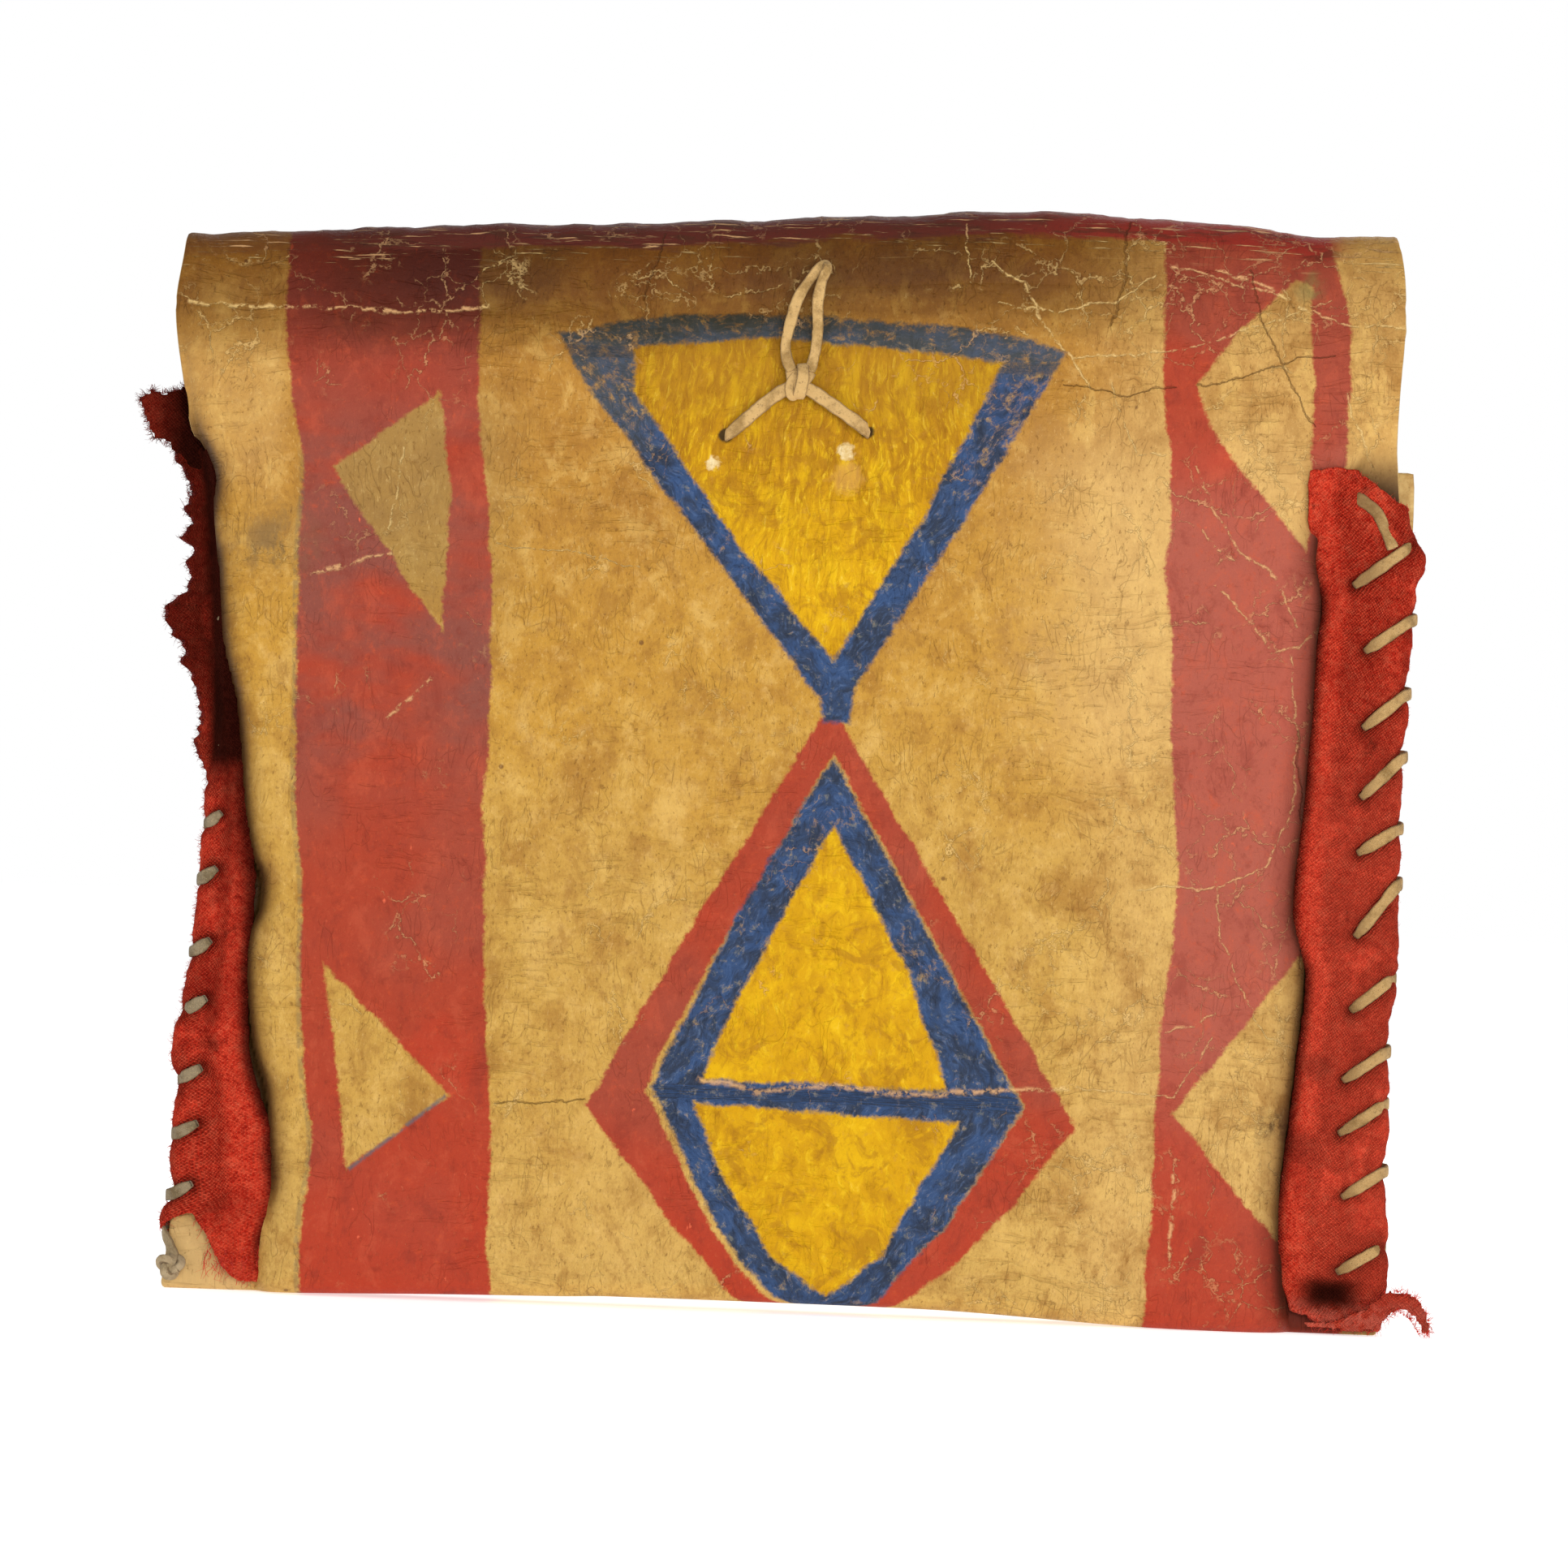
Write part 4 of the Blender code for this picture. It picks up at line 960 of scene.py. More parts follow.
class Tree:
    """A material's nodes, written as expressions."""

    def __init__(self, name):
        self.mat = bpy.data.materials.new(name)
        self.mat.use_nodes = True
        self.nodes, self.links = self.mat.node_tree.nodes, self.mat.node_tree.links
        self.shader = self.nodes["Principled BSDF"]

    def put(self, socket, value):
        if isinstance(value, Sock):
            self.links.new(value.out, socket)
        elif value is not None:
            socket.default_value = value

    def math(self, op, a, b=None, c=None):
        node = self.nodes.new("ShaderNodeMath")
        node.operation = op
        for i, value in enumerate((a, b, c)):
            if value is not None:
                self.put(node.inputs[i], value)
        return Sock(self, node.outputs[0])

    def vmath(self, op, a, b=None, scale=None):
        node = self.nodes.new("ShaderNodeVectorMath")
        node.operation = op
        self.put(node.inputs[0], a)
        if b is not None:
            self.put(node.inputs[1], b)
        if scale is not None:
            self.put(node.inputs["Scale"], scale)
        return Sock(self, node.outputs["Value" if op in ("DOT_PRODUCT", "LENGTH", "DISTANCE") else "Vector"])

    def affine(self, value, factor, plus):
        return self.math("MULTIPLY_ADD", value, factor, plus)

    def attribute(self, name, output="Vector"):
        node = self.nodes.new("ShaderNodeAttribute")
        node.attribute_name = name
        return Sock(self, node.outputs[output])

    def place(self):
        """The place on the piece, in metres."""
        return Sock(self, self.nodes.new("ShaderNodeTexCoord").outputs["Object"])

    def place_mm(self):
        return self.vmath("SCALE", self.place(), scale=1 / MM)

    def split(self, v):
        node = self.nodes.new("ShaderNodeSeparateXYZ")
        self.put(node.inputs[0], v)
        return [Sock(self, out) for out in node.outputs]

    def join(self, x, y, z):
        node = self.nodes.new("ShaderNodeCombineXYZ")
        for socket, value in zip(node.inputs, (x, y, z)):
            self.put(socket, value)
        return Sock(self, node.outputs[0])

    def noise(self, v, scale, detail=3.0, rough=0.55, warp=0.0, vector=False):
        node = self.nodes.new("ShaderNodeTexNoise")
        self.put(node.inputs["Vector"], v)
        node.inputs["Scale"].default_value = scale
        node.inputs["Detail"].default_value = detail
        node.inputs["Roughness"].default_value = rough
        node.inputs["Distortion"].default_value = warp
        return Sock(self, node.outputs["Color" if vector else "Fac"])

    def drift(self, v, reach, *texture):
        """A noise's colours as offsets, up to half of reach each way."""
        centred = self.vmath("SUBTRACT", self.noise(v, *texture, vector=True), (0.5, 0.5, 0.5))
        return self.vmath("SCALE", centred, scale=reach)

    def near(self, v, place, low, high):
        """A round spot about a place in (u, v) or (x, y, z)."""
        return self.step(self.vmath("DISTANCE", v, place), low, high)

    def cells(self, v, scale, feature="DISTANCE_TO_EDGE"):
        node = self.nodes.new("ShaderNodeTexVoronoi")
        node.feature = feature
        self.put(node.inputs["Vector"], v)
        node.inputs["Scale"].default_value = scale
        return Sock(self, node.outputs["Distance"])

    def step(self, value, low, high):
        """0 below low, 1 above high; low may be above high to turn it round."""
        node = self.nodes.new("ShaderNodeMapRange")
        node.interpolation_type = "SMOOTHSTEP"
        self.put(node.inputs["Value"], value)
        flip = low > high
        node.inputs["From Min"].default_value = min(low, high)
        node.inputs["From Max"].default_value = max(low, high)
        node.inputs["To Min"].default_value = 1.0 if flip else 0.0
        node.inputs["To Max"].default_value = 0.0 if flip else 1.0
        return Sock(self, node.outputs["Result"])

    def curve(self, value, points, low, high, out_low, out_high):
        """A smooth curve through (position, value) points."""
        node = self.nodes.new("ShaderNodeFloatCurve")
        line = node.mapping.curves[0]
        scaled = [((p - low) / (high - low), (v - out_low) / (out_high - out_low)) for p, v in points]
        while len(line.points) < len(scaled):
            line.points.new(0.5, 0.5)
        for point, place in zip(line.points, scaled):
            point.location = place
        node.mapping.update()
        self.put(node.inputs["Value"], self.affine(value, 1 / (high - low), -low / (high - low)))
        return self.affine(Sock(self, node.outputs[0]), out_high - out_low, out_low)

    def mix(self, share, a, b, mode="MIX"):
        node = self.nodes.new("ShaderNodeMix")
        node.data_type, node.blend_type = "RGBA", mode
        self.put(node.inputs["Factor"], share)
        self.put(node.inputs[6], a)
        self.put(node.inputs[7], b)
        return Sock(self, node.outputs[2])

    def coats(self, colour, layers):
        """Layers of (share, display colour) laid over a colour, one after the other."""
        for share, tint in layers:
            colour = self.mix(share, colour, rgb(*tint))
        return colour

    def darker(self, share, colour, tint):
        """The colour multiplied by a tint, as far as share goes."""
        return self.mix(share, colour, self.mix(1.0, colour, tint, "MULTIPLY"))

    def blend(self, share, a, b):
        """A number part way from a to b."""
        return self.affine(b - a, share, a)

    def ridge(self, v, scale, detail, rough, width):
        """Thin curving lines, where a noise passes its middle value."""
        return self.step(abs(self.noise(v, scale, detail, rough) - 0.5), width * 1.8, width * 0.5)

    def bump(self, height, distance, strength):
        node = self.nodes.new("ShaderNodeBump")
        node.inputs["Strength"].default_value = strength
        node.inputs["Distance"].default_value = distance
        self.put(node.inputs["Height"], height)
        return Sock(self, node.outputs[0])

    def finish(self, colour, roughness, normal):
        self.put(self.shader.inputs["Base Color"], colour)
        self.put(self.shader.inputs["Roughness"], roughness)
        self.put(self.shader.inputs["Normal"], normal)
        return self.mat


def outside(tree, p, points):
    """Signed distance to a convex shape given by its corners in turn, inside negative."""
    area = sum(a[0] * b[1] - b[0] * a[1] for a, b in zip(points, points[1:] + points[:1]))
    if area < 0:
        points = points[::-1]
    out = None
    for (ax, ay), (bx, by) in zip(points, points[1:] + points[:1]):
        n = np.array([by - ay, ax - bx], float)
        n /= np.linalg.norm(n)
        d = tree.vmath("DOT_PRODUCT", p, (*n.tolist(), float(-(n[0] * ax + n[1] * ay))))
        out = d if out is None else out | d
    return out


def near_line(tree, uv, points, width):
    """1 on a broken line of (u, v) points, fading out over width."""
    best = None
    for (ax, ay), (bx, by) in zip(points, points[1:]):
        dx, dy = bx - ax, by - ay
        length = math.hypot(dx, dy)
        along = tree.vmath("DOT_PRODUCT", uv, (dx / length, dy / length, -(ax * dx + ay * dy) / length))
        aside = tree.vmath("DOT_PRODUCT", uv, (dy / length, -dx / length, -(ax * dy - ay * dx) / length))
        d = abs(aside) | abs(along - length / 2) - length / 2
        best = d if best is None else best & d
    return tree.step(best, width, 0.0)


# Edges of the two red bands, from the left, as (v, u).
STRIPE_LINES = (
    ((0, -115.4), (20, -115.7), (30, -114.3), (40, -114.0), (50, -115.8), (60, -117.0), (80, -118.1),
     (100, -118.6), (120, -121.0), (150, -121.9), (190, -122.6), (200, -122.0), (210, -123.2),
     (220, -125.4), (230, -127.1), (250, -128.1), (400, -127.0)),
    ((0, -68.2), (20, -69.7), (40, -69.6), (50, -70.3), (65, -71.8), (90, -73.4), (110, -73.9),
     (120, -74.9), (140, -74.0), (170, -74.8), (182, -75.4), (200, -76.8), (215, -79.4), (240, -80.2),
     (250, -80.6), (400, -81.0)),
    ((0, 92.8), (20, 93.2), (40, 93.8), (60, 94.2), (80, 95.0), (100, 96.6), (115, 97.0), (130, 95.6),
     (150, 94.0), (170, 93.4), (188, 90.8), (200, 91.8), (218, 90.6), (230, 88.8), (258, 88.3),
     (400, 88.0)),
    ((0, 142.0), (100, 140.0), (200, 135.0), (225, 134.6), (240, 134.6), (250, 134.0), (258, 132.0),
     (268, 129.4), (400, 128.0)),
)
# Old cracks and folds of the sheet: pale where the paint has flaked, as lines in (u, v).
PALE = (
    ([(-19, 57.3), (-5, 54.8), (15, 57), (33, 54.9), (45, 56.8), (73, 58.9)], 1.1),
    ([(73, 58.9), (98, 57.4), (108, 74)], 0.35),
    ([(-152, 243.7), (-128, 243.1), (-113, 244.1), (-95, 243.4), (-79, 245.4)], 0.7),
    ([(88.7, 262.7), (103, 259.3), (117, 255.8), (131, 249.4), (147, 249)], 0.55),
    ([(65.6, 238.8), (78.6, 239.3), (97.5, 243), (113, 248.7), (129, 255.3)], 0.4),
    ([(45, 262), (53, 256.3), (59, 246.5), (65.6, 238.8), (71, 231)], 0.5),
    ([(47, 251.7), (61, 249.6), (77, 253.2), (85, 259.6)], 0.4),
    ([(76, 233.2), (79, 223.3), (82.6, 215.4), (90.6, 215.8)], 0.35),
    ([(87, 108.5), (107, 109.3), (118.6, 115.2), (124.9, 129), (125.1, 149), (122.5, 168)], 0.45),
    ([(97.7, 213), (102.8, 201.2), (109.5, 192.5), (118.8, 185.9), (123.8, 175)], 0.55),
    ([(99.3, 197.1), (103.5, 193.8), (108, 190.8)], 0.45),
    ([(103.4, 184.2), (113.2, 174.6), (118.1, 167.8), (124.5, 169.1), (132, 177.4)], 0.5),
    ([(95.6, 73.8), (102.2, 75.7), (108, 78.3)], 0.45),
    ([(106, 112.3), (108, 98.3), (111.7, 88.5), (120.3, 72.8), (129.4, 69.2)], 0.4),
    ([(98.5, 37.9), (99.2, 29.9), (98.5, 15.9)], 0.7),
    ([(38.7, 273.3), (39, 265.7), (40, 256.8)], 0.4),
    ([(-119, 178), (-109, 181), (-100, 184)], 0.7),
    ([(-99, 143.4), (-94, 148), (-88.7, 153.3)], 0.7),
    ([(-97.5, 212), (-99, 200), (-101, 190)], 0.45),
    ([(134, 232), (138, 222), (143, 213)], 0.45),
    ([(101, 262), (112, 258.5), (124, 252)], 0.7),
    ([(-74, 187), (-52, 185.6), (-38, 182.8)], 0.25),
)
DARK = (
    ([(-69, 49.8), (-58, 49.9), (-47.4, 50.9)], 0.3),
    ([(79.3, 276), (77.7, 267.3), (78.4, 260.3), (75.3, 247.2)], 0.5),
    ([(97, 232.5), (110, 236), (122, 240.5), (131, 242)], 0.3),
    ([(64, 232), (80, 230), (92, 233)], 0.3),
    ([(109, 262), (112, 250), (118, 238), (126, 224)], 0.3),
    ([(-35, 266.4), (-38, 256.7), (-40, 248.6)], 0.4),
    ([(125.1, 149), (128, 120), (129, 90)], 0.5),
)


# Painted shapes on the flat sheet, as corners in (u, v). All of them are convex.
SHAPES = {
    "bare_left_upper": ((-89.3, 224.6), (-115.5, 204.1), (-86.4, 165.0), (-85.8, 200.7)),
    "bare_left_lower": ((-112.2, 81.6), (-80.2, 51.2), (-104.7, 31.8)),
    "bare_right_upper": ((120.4, 260.4), (107.0, 246.9), (96.8, 233.1), (100.4, 222.5), (114.3, 205.4),
        (126.1, 193.3), (126.0, 213.4), (124.4, 258.8)),
    "bare_right_lower": ((127.5, 93.1), (98.1, 53.1), (124.7, 23.0), (145.0, 23.0), (145.0, 93.5)),
    "red_diamond": ((5.9, 146.9), (12.7, 147.2), (38.7, 105.6), (74.6, 49.8), (60.0, 29.6), (43.1, 11.7),
        (33.0, 3.9), (20.0, -6.0), (2.0, -6.0), (-8.0, 3.6), (-25.5, 23.0), (-47.8, 50.9),
        (-17.6, 103.4)),
    "red_inner": ((11.0, 138.6), (-18.8, 83.0), (-30.6, 58.8), (-31.8, 53.4), (-15.4, 22.3), (-9.2, 12.6),
        (0.4, 3.4), (6.0, -1.5), (18.0, -1.4), (26.8, 4.6), (44.8, 25.6), (61.5, 53.4)),
    "blue_triangle": ((-60.5, 239.4), (-46.6, 242.7), (-26.7, 245.7), (1.3, 246.2), (31.4, 245.2),
        (51.4, 243.6), (66.2, 239.0), (39.8, 195.7), (11.8, 145.2), (-26, 193.1), (-53.5, 227.0)),
    "yellow_top": ((-42.5, 237.2), (-41.2, 225.5), (-17.6, 193.4), (9.8, 161.5), (29.7, 195.4),
        (49.6, 237.0), (20.0, 239.6), (-12.0, 240.4)),
    "blue_lozenge": ((11.0, 137.2), (-8.4, 103.7), (-22.2, 73.2), (-30.5, 54.8), (-13.4, 22.5),
        (-7.5, 13.4), (1.5, 4.4), (13.5, -4.0), (26.8, 4.1), (44.6, 25.4), (61.0, 53.2)),
    "yellow_middle": ((11.8, 121.4), (2.8, 104.1), (-12.6, 73.4), (-18.6, 57.1), (42.5, 56.7),
        (31.8, 85.3)),
    "yellow_foot": ((-20.4, 51.6), (-12.2, 33.5), (0.7, 14), (14.5, 4.6), (27.5, 15.1), (45.6, 49)),
    "blue_stem": ((6.6, 161.0), (16.2, 161.0), (14.0, 146.2), (8.2, 146.2)),
    "flap_triangle": ((-52, 402), (66, 402), (9, 318)),
    "flap_inner": ((-37, 396), (51, 396), (9, 332)),
}

# Dirty patches: place, reach and colour.
SMUDGES = (
    (124.0, 51.0, 8.0, (58, 34, 20)), (131.0, 46.0, 5.0, (58, 34, 20)),
    (-147.0, 202.5, 6.0, (30, 16, 10)), (-129.0, 186.0, 15.0, (112, 92, 62)),
    (-117.5, 109.0, 2.4, (62, 40, 24)), (124.4, 258.0, 5.0, (112, 100, 54)),
)


def paint_layers(t, uv, u, v):
    """Signed distances to the painted red, blue and yellow, and the brush strokes' coordinates."""
    jitter = t.drift(uv, 2.6, 0.10, 2.0, 0.5) + t.drift(uv, 2.2, 0.75, 3.0, 0.65)
    mx, my, _ = t.split(uv + jitter)
    p = t.join(mx, my, 1.0)
    edges = [t.curve(v, points, 0, 400, -160, 160) for points in STRIPE_LINES]
    shape = {name: outside(t, p, corners) for name, corners in SHAPES.items()}
    bare_left = shape["bare_left_upper"] & shape["bare_left_lower"]
    bare_right = shape["bare_right_upper"] & shape["bare_right_lower"]
    red = ((edges[0] - mx) | (mx - edges[1])) | -bare_left
    red = red & (((edges[2] - mx) | (mx - edges[3])) | -bare_right)
    red = red & (shape["red_diamond"] | -shape["red_inner"])
    lozenge_in = shape["yellow_middle"] & shape["yellow_foot"]
    yellow = shape["yellow_top"] & lozenge_in
    blue = (shape["blue_triangle"] | -shape["yellow_top"]) & (shape["blue_lozenge"] | -lozenge_in)
    blue = blue & shape["blue_stem"]
    blue = blue & (shape["flap_triangle"] | -shape["flap_inner"])
    yellow = yellow & shape["flap_inner"]

    # Strokes run along the bands, which mirror about the middle line.
    aside = abs(u - 10.0)
    slant = t.step(v, 52.0, 56.0) * t.step(v, 146.0, 140.0)
    level = t.step(v, 234.0, 237.0)
    across_a = aside * 0.81 - v * 0.59
    along_a = aside * 0.59 + v * 0.81
    across_b = aside * 0.86 + v * 0.5
    along_b = aside * 0.5 - v * 0.86
    across_band = t.blend(level, t.blend(slant, across_a, across_b), v)
    along_band = t.blend(level, t.blend(slant, along_a, along_b), u)
    return red, blue, yellow, t.join(across_band, along_band, 0.0)


def lines(t, uv, table):
    out = None
    for points, width in table:
        one = near_line(t, uv, points, width)
        out = one if out is None else out | one
    return out


def hide_material():
    t = Tree("painted_rawhide")
    u, v, depth = t.split(t.attribute("sheet"))
    uv = t.join(u, v, 0.0)

    # Bare hide: pale gold low down, ochre in the middle and brown at the handled top, with cloudy stains.
    cloud = t.noise(uv, 0.016, 3.0, 0.5, 0.4)
    blotch = t.noise(uv + (57.0, 13.0, 0.0), 0.055, 5.0, 0.62, 0.5)
    mottle = t.noise(uv, 0.22, 5.0, 0.68)
    grain = t.noise(uv * (1.0, 0.45, 1.0), 1.5, 4.0, 0.7)
    level = (v & (558.0 - v)) + t.affine(cloud, 130.0, -65.0)
    hide = t.mix(t.step(level, 20.0, 70.0), rgb(199, 160, 84), rgb(190, 148, 68))
    hide = t.coats(hide, (
        (t.step(level, 90.0, 160.0), (186, 138, 50)),
        (t.step(level, 150.0, 225.0), (172, 122, 46)),
        (t.step(u + cloud * 40.0, 78.0, 110.0) * 0.55, (202, 162, 98)),
        (t.step(blotch, 0.47, 0.70) * 0.60, (148, 98, 34)),
        (t.step(blotch, 0.46, 0.30) * 0.50, (206, 166, 92)),
        (t.step(mottle, 0.50, 0.70) * 0.36, (140, 94, 38)),
        (t.step(mottle, 0.48, 0.32) * 0.24, (218, 178, 108)),
        (t.step(grain, 0.50, 0.68) * 0.36, (126, 82, 34)),
    ))
    smear = t.noise(uv * (1.0, 0.62, 1.0), 0.12, 9.0, 0.74, 0.4)
    hide = t.coats(hide, (
        (t.step(smear, 0.51, 0.64) * 0.44, (140, 92, 32)),
        (t.step(smear, 0.49, 0.36) * 0.34, (220, 180, 100)),
    ))
    worn_pale = t.step(u + blotch * 40.0, 62.0, 98.0) * t.step(v, 128.0, 152.0) * t.step(v, 232.0, 205.0)
    # left_highlight is a painted highlight: paler, whiter hide high on the left margin.
    left_highlight = t.step(u, -124.0, -131.0) * t.step(v, 190.0, 208.0) * t.step(v, 246.0, 230.0)
    hide = t.mix((worn_pale | left_highlight * 0.6) * 0.42, hide, rgb(218, 178, 112))
    drab = t.step(u, -60.0, -90.0) * t.step(v, 150.0, 185.0) * t.step(v, 232.0, 216.0)
    drab = drab * t.step(u, -126.0, -116.0)
    hide = t.coats(hide, (
        (drab * 0.55, (138, 112, 66)),
        (t.step(u, -126.0, -130.0) * t.step(v, 24.0, 14.0) * 0.75, (206, 172, 116)),
    ))
    spots = t.cells(uv + (9.0, 4.0, 0.0), 0.055, "F1")
    hide = t.mix(t.step(spots, 0.045, 0.022) * 0.7, hide, rgb(92, 50, 22))

    # Hair lines of the grain, fine and nearly straight, and the soft wrinkles of the sheet, both darkened as
    # painted shade in their hollows.
    bent = uv + t.drift(uv, 12.0, 0.03, 2.0, 0.5)
    shaded_hairs = t.ridge(bent * (1.0, 0.16, 1.0), 0.40, 1.0, 0.4, 0.0075)
    shaded_hairs = shaded_hairs | t.ridge(bent * (0.42, 0.30, 1.0) + (40.0, 7.0, 0.0), 0.42, 1.0, 0.4, 0.007)
    shaded_hairs = shaded_hairs * t.step(t.noise(uv + (81.0, 22.0, 0.0), 0.06, 3.0, 0.6), 0.47, 0.62)
    hide = t.mix(shaded_hairs * 0.20, hide, rgb(112, 70, 26))
    nicks = t.noise(bent * (1.0, 0.46, 1.0), 1.1, 4.0, 0.72)
    hide = t.coats(hide, (
        (t.step(nicks, 0.58, 0.68) * 0.36, (118, 74, 28)),
        (t.step(nicks, 0.41, 0.31) * 0.24, (232, 198, 128)),
    ))
    pleat = t.noise(bent * (0.14, 1.0, 1.0), 0.50, 3.0, 0.6)
    shaded_wrinkles = t.step(pleat, 0.53, 0.66) * t.step(t.noise(uv + (310.0, 5.0, 0.0), 0.022, 2.0, 0.5), 0.46, 0.60)
    hide = t.mix(shaded_wrinkles * 0.16, hide, rgb(132, 86, 32))

    red, blue, yellow, band = paint_layers(t, uv, u, v)
    worn = t.noise(uv + (3.0, 71.0, 0.0), 0.34, 5.0, 0.74, 0.3)
    wide = t.noise(uv + (140.0, 20.0, 0.0), 0.020, 3.0, 0.5)
    face = t.step(depth, 0.30, 0.12)

    # Red: a thin earth pigment, darker high up, oranger and fresher low down. A grey painted sheen lies over
    # the upper left band.
    red_colour = t.mix(t.step(wide, 0.44, 0.60), rgb(160, 58, 35), rgb(152, 65, 46))
    fresh = t.step(v + wide * 60.0, 100.0, 40.0) | t.step(wide, 0.40, 0.33)
    red_colour = t.mix(fresh * 0.60, red_colour, rgb(176, 55, 31))
    right = t.step(u, 84.0, 90.0) * t.step(v + wide * 40.0, 40.0, 95.0)
    right = right * t.step(v - wide * 40.0, 212.0, 178.0)
    red_colour = t.mix(right * 0.72, red_colour, rgb(166, 88, 72))
    # Painted sheen: the red of the upper left band is greyed where a reflection lies.
    painted_sheen = t.step(t.noise(uv * (0.5, 1.0, 1.0), 0.035, 4.0, 0.6), 0.36, 0.56)
    painted_sheen = painted_sheen * t.step(v, 112.0, 150.0) * t.step(v, 236.0, 205.0) * t.step(u, -60.0, -70.0)
    red_colour = t.mix(painted_sheen * 0.72, red_colour, rgb(120, 72, 62))
    aloft = t.step(v, 216.0, 246.0) * t.step(v, 340.0, 310.0) * t.step(u, 60.0, -60.0)
    red_colour = t.coats(red_colour, (
        (aloft * 0.55, (108, 46, 38)),
        (t.step(worn, 0.55, 0.70) * 0.36, (196, 76, 38)),
        (t.step(mottle, 0.54, 0.72) * 0.34, (112, 36, 24)),
        (t.step(grain, 0.55, 0.72) * 0.24, (190, 104, 66)),
        (t.step(smear, 0.52, 0.64) * 0.34, (118, 40, 30)),
        (t.step(smear, 0.48, 0.37) * 0.30, (190, 84, 56)),
        (t.step(nicks, 0.62, 0.72) * 0.35, (206, 108, 78)),
    ))
    dashes = t.noise(uv * (1.0, 0.5, 1.0), 0.42, 3.0, 0.6)
    red_colour = t.mix(t.step(dashes, 0.68, 0.74) * t.step(blotch, 0.46, 0.58), red_colour, rgb(208, 92, 62))
    red_mask = t.step(red, 0.55, -0.55) * t.step(worn, 0.86, 0.72)

    # Yellow: thick upright strokes, ochre at the top and lemon lower down.
    sx, sy, _ = t.split(uv + t.drift(uv, 7.0, 0.05, 2.0, 0.5))
    fan = t.join(sx + (sx - 10.0) * (sy - 190.0) * 0.004, sy, 0.0)
    strokes = t.noise(fan * (1.0, 0.28, 1.0), 0.62, 6.0, 0.72, 0.9)
    swirled = t.noise(uv * (1.0, 0.60, 1.0), 0.34, 6.0, 0.70, 0.8)
    strokes = t.blend(t.step(v, 150.0, 130.0) * 0.75, strokes, swirled)
    strokes2 = t.noise(fan * (1.0, 0.22, 1.0) + (31.0, 0.0, 0.0), 0.42, 3.0, 0.6)
    dabs = t.noise(fan * (1.0, 0.5, 1.0) + (5.0, 90.0, 0.0), 0.13, 3.0, 0.6)
    lemon = t.step(v + dabs * 60.0, 245.0, 205.0) * t.step(v, 158.0, 175.0) | t.step(v, 125.0, 110.0) * 0.8
    yellow_colour = t.mix(t.step(strokes2, 0.36, 0.66), rgb(160, 108, 0), rgb(190, 138, 0))
    yellow_colour = t.coats(yellow_colour, (
        (lemon * 0.78, (214, 162, 0)),
        (t.step(dabs, 0.50, 0.66) * 0.55, (224, 178, 0)),
        (t.step(strokes, 0.50, 0.62) * 0.48, (230, 188, 16)),
        (t.step(strokes, 0.60, 0.72) * 0.50, (240, 208, 96)),
        (t.step(strokes, 0.48, 0.34) * 0.50, (146, 94, 4)),
    ))
    clot = t.noise(uv + (44.0, 8.0, 0.0), 0.10, 5.0, 0.68, 1.0)
    yellow_colour = t.coats(yellow_colour, (
        (t.step(clot, 0.51, 0.62) * 0.55, (156, 104, 10)),
        (t.step(v, 208.0, 234.0) * 0.45, (152, 106, 22)),
        (t.step(smear, 0.52, 0.64) * 0.36, (150, 98, 8)),
        (t.step(worn, 0.56, 0.70) * 0.36, (186, 134, 52)),
    ))
    yellow_mask = t.step(yellow, 0.75, -0.55)

    # Blue: dry strokes of a slate blue with the hide showing through.
    band = band + t.drift(uv, 9.0, 0.10, 2.0, 0.5)
    bristle = t.noise(band * (1.0, 0.26, 1.0), 0.95, 6.0, 0.72)
    patchy = t.noise(band * (1.0, 0.5, 1.0) + (17.0, 3.0, 0.0), 0.17, 4.0, 0.6)
    blue_colour = t.mix(t.step(patchy, 0.40, 0.62), rgb(44, 54, 74), rgb(50, 74, 114))
    blue_colour = t.coats(blue_colour, (
        (t.step(bristle, 0.50, 0.64) * 0.42, (78, 102, 142)),
        (t.step(bristle, 0.62, 0.74) * 0.40, (136, 148, 160)),
        (t.step(bristle, 0.48, 0.34) * 0.55, (28, 34, 48)),
    ))
    dull = t.step(v, 230.0, 237.0) | t.step(u, -30.0, -42.0) * t.step(v, 205.0, 222.0)
    blue_colour = t.coats(blue_colour, (
        (dull * 0.60, (74, 74, 66)),
        (t.step(worn, 0.54, 0.68) * 0.45, (124, 126, 118)),
    ))
    shabby = t.step(u, 30.0, 55.0) * t.step(v, 175.0, 215.0) | t.step(v, 236.0, 244.0)
    shabby = shabby | t.step(u, -30.0, -42.0) * t.step(v, 205.0, 225.0)
    shabby = (shabby | t.step(blotch, 0.52, 0.66)) * 0.075
    thin = t.affine(bristle, 0.45, worn * 0.55) + shabby
    blue_mask = t.step(blue + t.affine(bristle, 1.4, -0.7), 0.85, -0.65)
    blue_mask = blue_mask * t.affine(t.step(thin, 0.55, 0.73), -0.80, 1.0)

    colour = t.mix(red_mask * face, hide, red_colour)
    colour = t.mix(yellow_mask * face, colour, yellow_colour)
    colour = t.mix(blue_mask * face, colour, blue_colour)
    rule = near_line(t, t.join(u, v, 1.0), [(-81.5, 50.4), (-104.0, 32.0)], 0.9) * t.step(worn, 0.62, 0.50)
    colour = t.mix(rule * face * 0.75, colour, rgb(88, 92, 98))
